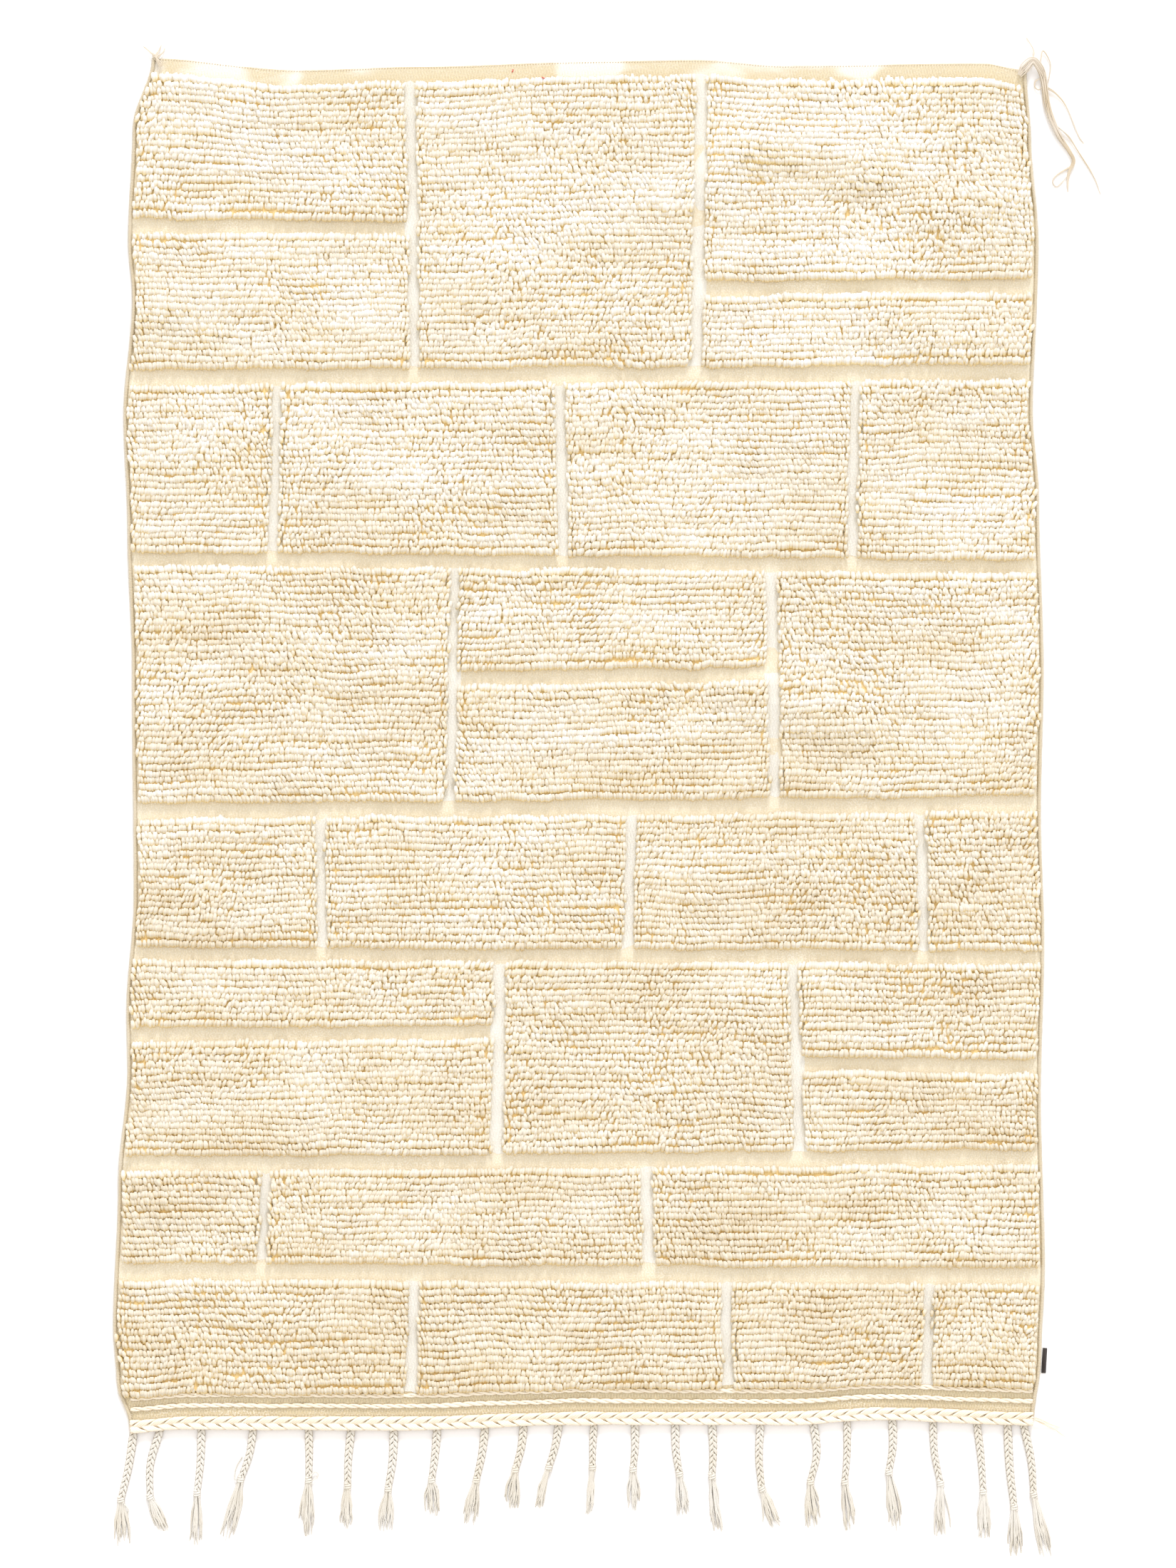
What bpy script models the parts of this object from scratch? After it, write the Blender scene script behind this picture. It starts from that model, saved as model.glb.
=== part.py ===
"""A hand-knotted wool rug with bare channels in its pile, a corded edge and a plaited cotton fringe.

The rug lies on z = 0 with its headed end towards +Y, and the middle of its woven part is above the
origin. The tables are in millimetres and the model is in metres.
"""

import math
from bisect import bisect_right
from collections import namedtuple

import bmesh
import bpy
from mathutils import Matrix, Vector

MM = 0.001

# Heights above the underside, and the clearance between neighbouring pieces
GROUND_HEIGHT = 3.0
SELVEDGE_HEIGHT = 6.0
PILE_HEIGHT = 18.0
GAP = 0.3

# Marks of the three levels that a face of the cloth can stand at
GROUND_LEVEL, SELVEDGE_LEVEL, PILE_LEVEL = 0, 1, 2

# Woven borders, measured in from the outline
SELVEDGE_WIDTH = 9.5
HEADING_DEPTH = 29.0
PILE_FOOT = 56.0

# The grid that the cloth is bent on
CELL = 56.0
CUT_REACH = 90.0
CUT_SNAP = 2.0
FLAT_ANGLE = math.radians(0.05)

# Cords at the fringed edge: height above the edge's own line, and size
EDGE_PLAIT_RISE = 12.5
EDGE_PLAIT_RADIUS = 12.5
GROUND_EDGE_RISE = 10.0
SPINE_RADIUS = 4.0
SPINE_RISE = GROUND_EDGE_RISE - GAP - SPINE_RADIUS
TWINED_RADIUS = 4.4
UPPER_TWINED_RISE = GROUND_EDGE_RISE + PILE_FOOT - GAP - 1.2 * TWINED_RADIUS
LOWER_TWINED_RISE = 42.0
CORD_END_INSET = 3.0

# A yarn is a tube of six sides that lies on one of them
HALF_HEIGHT_SHARE = math.cos(math.pi / 6)
CAP_WELD = 0.02 * MM

# How flat each kind of yarn lies: height over width
EDGE_PLAIT_FLATNESS = 0.47
TWINED_FLATNESS = 0.62
SPINE_FLATNESS = 0.36
FRINGE_FLATNESS = 0.5
TASSEL_FLATNESS = 0.55

# Label tab: it is laid beside the selvedge
LABEL_MIDDLE_Y = -1077.0
LABEL_LENGTH = 44.0
LABEL_SHOWING = 8.0
LABEL_THICKNESS = 1.2
LABEL_CLEARANCE = 0.95

# Outline: a smooth line through (station, place)
Station = namedtuple("Station", "at value")

LEFT_EDGE = (  # at: y, value: x
    Station(-1190, -796),
    Station(-1116, -819),
    Station(-1016, -825),
    Station(-767, -816),
    Station(-568, -800),
    Station(-468, -802),
    Station(-268, -789),
    Station(130, -792),
    Station(379, -800),
    Station(579, -807),
    Station(778, -791),
    Station(878, -799),
    Station(1077, -791),
    Station(1199, -757),
)
RIGHT_EDGE = (  # at: y, value: x
    Station(-1190, 786),
    Station(-1066, 800),
    Station(-916, 806),
    Station(-617, 799),
    Station(-343, 805),
    Station(-119, 799),
    Station(130, 804),
    Station(429, 796),
    Station(579, 785),
    Station(878, 795),
    Station(1052, 782),
    Station(1177, 774),
)
HEAD_EDGE = (  # at: x, value: y
    Station(-757, 1199),
    Station(-498, 1178),
    Station(-299, 1184),
    Station(50, 1194),
    Station(199, 1196),
    Station(349, 1186),
    Station(698, 1190),
    Station(774, 1177),
)
FOOT_EDGE = (  # at: x, value: y of the fringed edge
    Station(-796, -1204),
    Station(-700, -1197),
    Station(-324, -1198),
    Station(0, -1189),
    Station(350, -1189),
    Station(520, -1181),
    Station(786, -1190),
)

# Channels left bare in the pile: courses of blocks of uneven height and length, jointed like stonework
Seam = namedtuple("Seam", "y rise width")  # across the whole rug, rise from one side to the other
Joint = namedtuple("Joint", "course x lean width")  # up through one course
Split = namedtuple("Split", "x0 x1 y rise width")  # across one block

REACH = 860.0
HEAD_LINE = Seam(1172, 0, 0)
FOOT_LINE = Seam(-1140, 0, 0)
SEAMS = (
    Seam(646, 10, 31),
    Seam(318, -16, 28),
    Seam(-110, 14, 32),
    Seam(-368, -8, 28),
    Seam(-726, 14, 30),
    Seam(-924, -10, 33),
)
JOINTS = (
    Joint(0, -300, -8, 26),
    Joint(0, 200, 10, 28),
    Joint(1, -540, 8, 25),
    Joint(1, -40, -10, 27),
    Joint(1, 470, 6, 26),
    Joint(2, -230, 10, 25),
    Joint(2, 330, -8, 28),
    Joint(3, -460, -6, 26),
    Joint(3, 80, 8, 25),
    Joint(3, 590, -6, 27),
    Joint(4, -150, 6, 28),
    Joint(4, 370, -10, 26),
    Joint(5, -560, 4, 25),
    Joint(5, 110, -6, 27),
    Joint(6, -300, 6, 26),
    Joint(6, 250, -4, 28),
    Joint(6, 600, 4, 25),
)
SPLITS = (
    Split(-REACH, -300, 905, -8, 29),
    Split(200, REACH, 800, 6, 30),
    Split(-230, 330, 120, 10, 29),
    Split(370, REACH, -560, -8, 31),
    Split(-REACH, -150, -505, 6, 28),
)
Strip = namedtuple("Strip", "x0 y0 x1 y1 width")

# Waves where the cloth stands off the floor
Ridge = namedtuple("Ridge", "x0 y0 x1 y1 spread height")
RIDGES = (
    Ridge(300, 1060, 490, 1012, 78, 12),
    Ridge(290, 1050, 205, 975, 66, 8),
    Ridge(-800, 745, -610, 805, 70, 8),
    Ridge(610, 928, 790, 978, 70, 9),
    Ridge(560, 735, 790, 690, 74, 7),
    Ridge(270, 96, 480, 42, 76, 9),
    Ridge(-820, -705, -715, -815, 66, 6),
)

# Fringe: where each plait leaves the edge, its knot, the tip of its brush and its sideways bow
Plait = namedtuple("Plait", "root_x knot_x knot_y tip_x tip_y bow")
PLAITS = (
    Plait(-787, -810, -1320, -804, -1399, 2),
    Plait(-740, -759, -1315, -736, -1376, -9),
    Plait(-669, -677, -1309, -680, -1395, 2),
    Plait(-578, -601, -1285, -627, -1390, 4),
    Plait(-482, -482, -1286, -482, -1379, 1),
    Plait(-407, -414, -1296, -417, -1369, -2),
    Plait(-333, -343, -1301, -348, -1372, 3),
    Plait(-257, -267, -1286, -268, -1346, 1),
    Plait(-173, -189, -1286, -203, -1360, 2),
    Plait(-106, -121, -1268, -128, -1335, 3),
    Plait(-44, -62, -1263, -80, -1335, 2),
    Plait(17, 14, -1263, 12, -1343, -1),
    Plait(88, 85, -1267, 87, -1335, 2),
    Plait(159, 166, -1275, 173, -1345, -3),
    Plait(223, 223, -1279, 237, -1372, 2),
    Plait(308, 310, -1301, 335, -1366, -4),
    Plait(399, 395, -1289, 399, -1365, 9),
    Plait(459, 455, -1289, 462, -1370, 2),
    Plait(538, 532, -1272, 542, -1370, 4),
    Plait(609, 622, -1291, 628, -1379, -4),
    Plait(685, 697, -1306, 697, -1386, 2),
    Plait(739, 751, -1333, 756, -1414, -2),
    Plait(766, 785, -1311, 806, -1419, 5),
)
PLAIT_RADIUS = 8.0
PLAIT_END_RADIUS = 6.8
KNOT_RADIUS = 9.0
BRUSH_RADIUS = 11.0
TIP_RADIUS = 7.0
PLAIT_TAPER = 16.0  # from the edge to the plait's full width
KNOT_TAPER = 12.0
BRUSH_NECK, BRUSH_WIDEST = 0.25, 0.7  # shares of the brush's length

# Loose bundles at the corners: x, y, height of the underside, and half of the width
Bead = namedtuple("Bead", "x y z radius")
LYING_ON_GROUND = GROUND_HEIGHT + GAP
LYING_ON_SELVEDGE = SELVEDGE_HEIGHT + GAP
TASSEL = (
    Bead(760, 1168, LYING_ON_SELVEDGE, 4),
    Bead(769, 1181, LYING_ON_SELVEDGE, 8.5),
    Bead(783, 1194, LYING_ON_SELVEDGE, 6),
    Bead(796, 1180, LYING_ON_SELVEDGE, 6.5),
    Bead(803, 1160, 0.2, 7),
    Bead(810, 1112, 0, 7),
    Bead(827, 1068, 0, 7),
    Bead(847, 1037, 0, 6),
    Bead(855, 1019, 0, 5),
    Bead(846, 996, 0, 3.5),
    Bead(845, 966, 0, 2),
)
TASSEL_BRANCHES = (
    (
        Bead(806, 1139, 1.2, 2.5),
        Bead(824, 1137, 0, 3),
        Bead(843, 1113, 0, 3),
        Bead(862, 1067, 0, 2.6),
        Bead(873, 1050, 0, 2),
    ),
    (
        Bead(828, 1066, 1.2, 2.5),
        Bead(845, 1064, 0, 3),
        Bead(865, 1034, 0, 3),
        Bead(888, 997, 0, 2.8),
        Bead(905, 954, 0, 2),
    ),
    (
        Bead(781, 1196, 8.0, 2.2),
        Bead(785, 1212, 3.5, 2.6),
        Bead(779, 1235, 0, 1.8),
    ),
)
TUFT = (
    Bead(-741, 1186, LYING_ON_SELVEDGE, 3.2),
    Bead(-748, 1198, LYING_ON_SELVEDGE, 5.5),
    Bead(-757, 1210, 5.6, 3.4),
    Bead(-773, 1221, 0, 2),
)
TUFT_BRANCHES = (
    (
        Bead(-748, 1201, 7.6, 2),
        Bead(-741, 1212, 3.0, 2.4),
        Bead(-734, 1221, 0, 1.8),
    ),
)
EDGE_PLAIT_END = (
    Bead(791, -1180, LYING_ON_GROUND, 8),
    Bead(801, -1188, 2.4, 4.5),
    Bead(820, -1196, 0.4, 3.2),
    Bead(842, -1211, 0, 2),
)
EDGE_PLAIT_BRANCHES = (
    (
        Bead(799, -1186, 4.0, 2.2),
        Bead(812, -1188, 1.5, 2.4),
        Bead(832, -1195, 0, 1.8),
    ),
)

# Colour and roughness of each material
Finish = namedtuple("Finish", "red green blue roughness")
WOOL = Finish(0.90, 0.82, 0.63, 0.95)
GROUND_YARN = Finish(0.78, 0.70, 0.52, 0.9)
COTTON = Finish(0.82, 0.79, 0.71, 0.85)
LABEL_CLOTH = Finish(0.03, 0.022, 0.018, 0.7)


def blend(a, b, share):
    return a + (b - a) * share


def through(stations, at):
    """The value at one place of a smooth line through the stations, level past both ends."""
    if at <= stations[0].at:
        return stations[0].value
    if at >= stations[-1].at:
        return stations[-1].value
    index = bisect_right([s.at for s in stations], at) - 1
    low, high = stations[index], stations[index + 1]
    share = (at - low.at) / (high.at - low.at)
    return blend(low.value, high.value, share * share * (3 - 2 * share))


def lift(x, y):
    """How far the waves hold the cloth off the floor."""
    total = 0.0
    for ridge in RIDGES:
        start = Vector((ridge.x0, ridge.y0))
        run = Vector((ridge.x1, ridge.y1)) - start
        offset = Vector((x, y)) - start
        along = min(1.0, max(0.0, offset.dot(run) / run.length_squared))
        distance = (offset - run * along).length / ridge.spread
        total += ridge.height * max(0.0, 1 - distance * distance) ** 2
    return total


def seam_y(seam, x):
    return seam.y + seam.rise * x / (2 * REACH)


def channel_strips():
    """Every bare channel as a straight strip that ends on the middle of the ones it meets."""
    strips = [Strip(-REACH, seam_y(s, -REACH), REACH, seam_y(s, REACH), s.width) for s in SEAMS]
    lines = (HEAD_LINE, *SEAMS, FOOT_LINE)
    for joint in JOINTS:
        foot_x = joint.x - joint.lean / 2
        head_x = joint.x + joint.lean / 2
        foot_y = seam_y(lines[joint.course + 1], foot_x)
        head_y = seam_y(lines[joint.course], head_x)
        strips.append(Strip(foot_x, foot_y, head_x, head_y, joint.width))
    for split in SPLITS:
        half_rise = split.rise / 2
        strips.append(Strip(split.x0, split.y - half_rise, split.x1, split.y + half_rise, split.width))
    return strips


def strip_frame(strip):
    """The strip's start, its direction and its length."""
    start = Vector((strip.x0, strip.y0))
    run = Vector((strip.x1, strip.y1)) - start
    return start, run.normalized(), run.length


def in_strip(strip, point, spare_width=0.0):
    start, direction, length = strip_frame(strip)
    offset = point - start
    aside = abs(offset.x * direction.y - offset.y * direction.x)
    return 0 <= offset.dot(direction) <= length and aside <= strip.width / 2 + spare_width


def grid_steps(span, low_margin, high_margin):
    """(share, inset) of each grid line: the outline, the margins' lines and even steps between them."""
    count = round((span - low_margin - high_margin) / CELL)
    inner = [(i / count, low_margin * (1 - i / count) - high_margin * i / count) for i in range(count + 1)]
    return [(0.0, 0.0), *inner, (1.0, 0.0)]


def width_steps():
    return grid_steps(RIGHT_EDGE[0].value - LEFT_EDGE[0].value, SELVEDGE_WIDTH, SELVEDGE_WIDTH)


def cloth_point(x_step, y_step):
    """Where a grid line of each way cross, in millimetres."""
    share_x, inset_x = x_step
    share_y, inset_y = y_step
    x = blend(LEFT_EDGE[0].value, RIGHT_EDGE[0].value, share_x)
    y = 0.0
    for _ in range(3):
        foot = through(FOOT_EDGE, x) + GROUND_EDGE_RISE
        y = blend(foot, through(HEAD_EDGE, x), share_y) + inset_y
        x = blend(through(LEFT_EDGE, y), through(RIGHT_EDGE, y), share_x) + inset_x
    return Vector((x, y))


def split_along(cloth, strip):
    """Cuts the cloth's faces along both sides of a strip, near the strip only."""
    start, direction, _ = strip_frame(strip)
    aside = Vector((-direction.y, direction.x))
    for side in (-1, 1):
        near = [f for f in cloth.faces if in_strip(strip, f.calc_center_median().xy, CUT_REACH)]
        parts = {*near, *(e for f in near for e in f.edges), *(v for f in near for v in f.verts)}
        on_side = start + aside * (side * strip.width / 2)
        bmesh.ops.bisect_plane(
            cloth,
            geom=sorted(parts, key=lambda part: (type(part).__name__, part.index)),
            dist=CUT_SNAP,
            plane_co=on_side.to_3d(),
            plane_no=aside.to_3d(),
        )
        for sequence in (cloth.verts, cloth.edges, cloth.faces):
            sequence.index_update()


def pile_foot_y(x):
    return through(FOOT_EDGE, x) + GROUND_EDGE_RISE + PILE_FOOT


def on_selvedge(point):
    left, right = through(LEFT_EDGE, point.y), through(RIGHT_EDGE, point.y)
    beside = min(point.x - left, right - point.x) < SELVEDGE_WIDTH
    return beside and point.y > pile_foot_y(point.x)


def on_pile(point, strips):
    head_y = through(HEAD_EDGE, point.x) - HEADING_DEPTH
    left, right = through(LEFT_EDGE, point.y), through(RIGHT_EDGE, point.y)
    inside = left + SELVEDGE_WIDTH < point.x < right - SELVEDGE_WIDTH
    knotted = inside and pile_foot_y(point.x) < point.y < head_y
    return knotted and not any(in_strip(strip, point) for strip in strips)


def raise_faces(cloth, faces, height):
    """Extrudes faces upwards, keeping the ones below, and returns the new top faces."""
    made = bmesh.ops.extrude_face_region(cloth, geom=faces)["geom"]
    corners = [part for part in made if isinstance(part, bmesh.types.BMVert)]
    bmesh.ops.translate(cloth, verts=corners, vec=(0, 0, height))
    return [part for part in made if isinstance(part, bmesh.types.BMFace)]


def raise_levels(cloth, level):
    """Thickens the sheet to the ground, then stands the selvedges and the pile on it."""
    top = raise_faces(cloth, cloth.faces[:], GROUND_HEIGHT)
    steps = (
        (SELVEDGE_LEVEL, SELVEDGE_HEIGHT - GROUND_HEIGHT),
        (PILE_LEVEL, PILE_HEIGHT - SELVEDGE_HEIGHT),
    )
    for lowest, height in steps:
        low = [face for face in top if face[level] >= lowest]
        top = raise_faces(cloth, low, height)
        bmesh.ops.delete(cloth, geom=low, context="FACES_ONLY")


def make_rug_body():
    x_steps = width_steps()
    y_steps = grid_steps(HEAD_LINE.y - FOOT_LINE.y, PILE_FOOT, HEADING_DEPTH)
    last_column, last_row = len(x_steps) - 1, len(y_steps) - 1
    cloth = bmesh.new()
    bmesh.ops.create_grid(cloth, x_segments=last_column, y_segments=last_row, size=1.0)
    for corner in cloth.verts:
        column = round((corner.co.x + 1) / 2 * last_column)
        row = round((corner.co.y + 1) / 2 * last_row)
        corner.co = cloth_point(x_steps[column], y_steps[row]).to_3d()
    level = cloth.faces.layers.int.new("level")
    for face in cloth.faces:
        face[level] = SELVEDGE_LEVEL if on_selvedge(face.calc_center_median()) else GROUND_LEVEL
    strips = channel_strips()
    for strip in strips:
        split_along(cloth, strip)
    for face in cloth.faces:
        if face[level] != SELVEDGE_LEVEL and on_pile(face.calc_center_median().xy, strips):
            face[level] = PILE_LEVEL
    for corner in cloth.verts:
        corner.co.z = lift(corner.co.x, corner.co.y)
    bmesh.ops.triangulate(cloth, faces=cloth.faces[:])
    raise_levels(cloth, level)
    bmesh.ops.dissolve_limit(cloth, angle_limit=FLAT_ANGLE, verts=cloth.verts, edges=cloth.edges)
    bmesh.ops.recalc_face_normals(cloth, faces=cloth.faces)
    bmesh.ops.scale(cloth, verts=cloth.verts, vec=(MM, MM, MM))
    return add_mesh("rug_body", cloth, material("pile_wool", WOOL))


def material(name, finish):
    found = bpy.data.materials.get(name)
    if found:
        return found
    made = bpy.data.materials.new(name)
    made.use_nodes = True
    shader = made.node_tree.nodes["Principled BSDF"]
    shader.inputs["Base Color"].default_value = (finish.red, finish.green, finish.blue, 1)
    shader.inputs["Roughness"].default_value = finish.roughness
    shader.inputs["Metallic"].default_value = 0.0
    return made


def add_mesh(name, shape, surface, collection="wool_rug"):
    mesh = bpy.data.meshes.new(name)
    shape.to_mesh(mesh)
    shape.free()
    mesh.materials.append(surface)
    made = bpy.data.objects.new(name, mesh)
    bpy.data.collections[collection].objects.link(made)
    return made


def add_tube(shape, beads, flatness):
    """Adds to a bmesh a closed tube along the beads, flattened to lie on its underside."""
    curve = bpy.data.curves.new("tube", "CURVE")
    curve.dimensions = "3D"
    curve.bevel_depth = 1.0
    curve.bevel_resolution = 1  # six sides
    curve.use_fill_caps = True
    spline = curve.splines.new("POLY")
    spline.points.add(len(beads) - 1)
    for point, bead in zip(spline.points, beads):
        point.co = (bead.x, bead.y, bead.z / flatness + bead.radius * HALF_HEIGHT_SHARE, 1)
        point.radius = bead.radius
    guide = bpy.data.objects.new("tube", curve)
    bpy.context.scene.collection.objects.link(guide)
    bpy.context.view_layer.update()
    evaluated = guide.evaluated_get(bpy.context.evaluated_depsgraph_get())
    mesh = bpy.data.meshes.new_from_object(evaluated)
    mesh.transform(Matrix.Diagonal((MM, MM, MM * flatness, 1)))
    for corner in mesh.vertices:
        corner.co.z = max(corner.co.z, 0.0)
    tube = bmesh.new()
    tube.from_mesh(mesh)
    bmesh.ops.remove_doubles(tube, verts=tube.verts, dist=CAP_WELD)
    bmesh.ops.recalc_face_normals(tube, faces=tube.faces)
    tube.to_mesh(mesh)
    tube.free()
    shape.from_mesh(mesh)
    bpy.data.objects.remove(guide)
    bpy.data.curves.remove(curve)
    bpy.data.meshes.remove(mesh)


def make_bundle(name, main, branches, flatness, surface):
    """A tube with the branches joined on, as one solid."""
    shape = bmesh.new()
    add_tube(shape, main, flatness)
    bundle = add_mesh(name, shape, surface)
    for index, branch in enumerate(branches):
        shape = bmesh.new()
        add_tube(shape, branch, flatness)
        join(bundle, add_mesh(f"{name}_branch_{index}", shape, surface, "joined_shapes"))
    return bundle


def join(target, guide):
    guide.hide_render = True
    guide.display_type = "WIRE"
    union = target.modifiers.new("join", "BOOLEAN")
    union.operation = "UNION"
    union.solver = "EXACT"
    union.object = guide


def edge_beads(rise, height, radius):
    """Beads that follow the fringed edge, a little inside both corners."""
    steps = [(0.0, CORD_END_INSET), *width_steps()[1:-1], (1.0, -CORD_END_INSET)]
    places = [cloth_point(step, (0.0, rise - GROUND_EDGE_RISE)) for step in steps]
    return [Bead(place.x, place.y, height, radius) for place in places]


def make_twined_cord(name, rise):
    shape = bmesh.new()
    add_tube(shape, edge_beads(rise, LYING_ON_GROUND, TWINED_RADIUS), TWINED_FLATNESS)
    return add_mesh(name, shape, material("ground_yarn", GROUND_YARN))


def make_edge_plait():
    beads = edge_beads(EDGE_PLAIT_RISE, LYING_ON_GROUND, EDGE_PLAIT_RADIUS)
    main = (*beads[:-1], *EDGE_PLAIT_END)
    surface = material("pile_wool", WOOL)
    return make_bundle("edge_plait", main, EDGE_PLAIT_BRANCHES, EDGE_PLAIT_FLATNESS, surface)


def plait_beads(plait):
    """One plait from inside the spine to the tip of its brush."""
    edge_y = through(FOOT_EDGE, plait.root_x)
    root = Vector((plait.root_x, edge_y))
    knot = Vector((plait.knot_x, plait.knot_y))
    tip = Vector((plait.tip_x, plait.tip_y))
    brush = tip - knot
    run = knot - root
    middle = root + run * 0.5 + Vector((plait.bow, 0))
    return (
        Bead(root.x, edge_y + SPINE_RISE, 0.5, 2.0),
        Bead(root.x, edge_y - 3, 0.3, 4.6),
        Bead(*(root + run.normalized() * PLAIT_TAPER), 0, PLAIT_RADIUS),
        Bead(*middle, 0, PLAIT_RADIUS),
        Bead(*(knot - run.normalized() * KNOT_TAPER), 0, PLAIT_END_RADIUS),
        Bead(*knot, 0, KNOT_RADIUS),
        Bead(*(knot + brush * BRUSH_NECK), 0, PLAIT_END_RADIUS),
        Bead(*(knot + brush * BRUSH_WIDEST), 0, BRUSH_RADIUS),
        Bead(*tip, 0, TIP_RADIUS),
    )


def make_fringe():
    surface = material("fringe_cotton", COTTON)
    spine_shape = bmesh.new()
    add_tube(spine_shape, edge_beads(SPINE_RISE, 0, SPINE_RADIUS), SPINE_FLATNESS)
    spine = add_mesh("fringe", spine_shape, surface)
    plaits = bmesh.new()
    for plait in PLAITS:
        add_tube(plaits, plait_beads(plait), FRINGE_FLATNESS)
    join(spine, add_mesh("fringe_plaits", plaits, surface, "joined_shapes"))
    return spine


def make_edge_label():
    """A tab that lies beside the selvedge, turned with it."""
    low_y = LABEL_MIDDLE_Y - LABEL_LENGTH / 2
    high_y = LABEL_MIDDLE_Y + LABEL_LENGTH / 2
    low_x, high_x = through(RIGHT_EDGE, low_y), through(RIGHT_EDGE, high_y)
    turn = math.atan2(low_x - high_x, LABEL_LENGTH)
    x = (low_x + high_x) / 2 + LABEL_CLEARANCE + LABEL_SHOWING / 2
    shape = bmesh.new()
    size = (LABEL_SHOWING * MM, LABEL_LENGTH * MM, LABEL_THICKNESS * MM)
    bmesh.ops.create_cube(shape, size=1.0, matrix=Matrix.Diagonal((*size, 1)))
    label = add_mesh("edge_label", shape, material("label_cloth", LABEL_CLOTH))
    label.location = (x * MM, LABEL_MIDDLE_Y * MM, LABEL_THICKNESS * MM / 2)
    label.rotation_euler.z = turn
    return label


def clear_scene():
    for found in list(bpy.data.objects):
        bpy.data.objects.remove(found)
    for name in ("wool_rug", "joined_shapes"):
        collection = bpy.data.collections.new(name)
        bpy.context.scene.collection.children.link(collection)


def main():
    clear_scene()
    make_rug_body()
    make_twined_cord("twined_cord_upper", UPPER_TWINED_RISE)
    make_twined_cord("twined_cord_lower", LOWER_TWINED_RISE)
    make_edge_plait()
    make_fringe()
    cotton = material("fringe_cotton", COTTON)
    make_bundle("corner_tassel", TASSEL, TASSEL_BRANCHES, TASSEL_FLATNESS, cotton)
    make_bundle("corner_tuft", TUFT, TUFT_BRANCHES, TASSEL_FLATNESS, cotton)
    make_edge_label()


main()
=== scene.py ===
"""Looks of a hand-knotted wool rug: leaning pile tufts, bare woven channels, corded edge and plaited fringe.

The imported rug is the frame. Tables are in millimetres, with the rug's headed end towards +Y and the middle of
its woven part above the origin, as in the frame. Finished pieces are in metres.
"""

import itertools
import math
from collections import namedtuple
from functools import partial, partialmethod, wraps

import bmesh
import bpy
import numpy as np
from bpy.props import FloatProperty, FloatVectorProperty, IntProperty, PointerProperty
from mathutils import Matrix


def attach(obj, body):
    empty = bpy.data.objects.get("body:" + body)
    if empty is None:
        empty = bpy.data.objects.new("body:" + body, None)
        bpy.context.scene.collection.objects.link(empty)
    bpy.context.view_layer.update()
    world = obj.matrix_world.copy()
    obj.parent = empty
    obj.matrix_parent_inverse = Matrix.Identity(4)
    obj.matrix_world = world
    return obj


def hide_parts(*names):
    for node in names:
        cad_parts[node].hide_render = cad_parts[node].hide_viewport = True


bl_info = {
    "name": "Knotted Wool Rug",
    "version": (1, 0, 0),
    "blender": (4, 5, 0),
    "location": "View3D > Sidebar > Rug",
    "description": "Builds the ground, pile, cords and fringe of a knotted wool rug on its frame",
    "category": "Object",
}

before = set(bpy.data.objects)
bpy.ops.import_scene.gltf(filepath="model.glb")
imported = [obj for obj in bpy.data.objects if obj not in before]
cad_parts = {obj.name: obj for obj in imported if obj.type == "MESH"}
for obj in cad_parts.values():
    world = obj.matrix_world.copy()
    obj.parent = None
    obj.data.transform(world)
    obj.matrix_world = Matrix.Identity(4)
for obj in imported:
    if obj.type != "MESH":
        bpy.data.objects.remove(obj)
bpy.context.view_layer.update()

MM = 0.001
BODY = "root"

# Heights above the underside
GROUND_HEIGHT = 3.0
SELVEDGE_HEIGHT = 6.0
BED_HEIGHT = 9.5

# How far the bed of roots is set in from the borders of a block, and about how large its faces are
BED_SIDE = 4.0
BED_FOOT = 1.5
BED_HEAD = 6.0
BED_CELL = 45.0

# Woven borders, measured in from the outline
GROUND_INSET = 2.5
SELVEDGE_WIDTH = 9.5
PILE_INSET = 5.0  # beyond the selvedge
HEADING_DEPTH = 29.0
GROUND_EDGE_RISE = 10.0
PILE_FOOT = 56.0  # beyond the ground's own edge

# Meshing of the ground
GROUND_COLUMNS = 49
GROUND_ROWS = 45  # under the pile
GROUND_ROW_GAP = 0.004  # from a border to the first of them, as a share of the length
BORDER_REACH = 6.0  # how far under the pile the weave of the borders goes on

# Ground in the upright channels: it reaches under the pile on both sides, and its ends are ragged
JOINT_ROWS = 13
JOINT_OVERLAP = 3.0
JOINT_RAG = 6.0
JOINT_RISE = 0.4

# How near to a channel a tuft stands that leans out over it
CHANNEL_PULL = 14.0

# Solid core under the edge plait
CORE_REACH = 8.0
CORE_HEIGHT = 4.0

# How far the core goes into the ground, and how far above the underside the joints and the bed start
SINK = 1.0

# Points along a guide line
SIDE_POINTS = 120
EDGE_POINTS = 90
PLAIT_POINTS = 26
STRAY_POINTS = 12

# Cords along the fringed edge: height of their middle above the edge's own line
EDGE_PLAIT_RISE = 12.0
UPPER_CORD_RISE = 60.4
LOWER_CORD_RISE = 42.0

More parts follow.
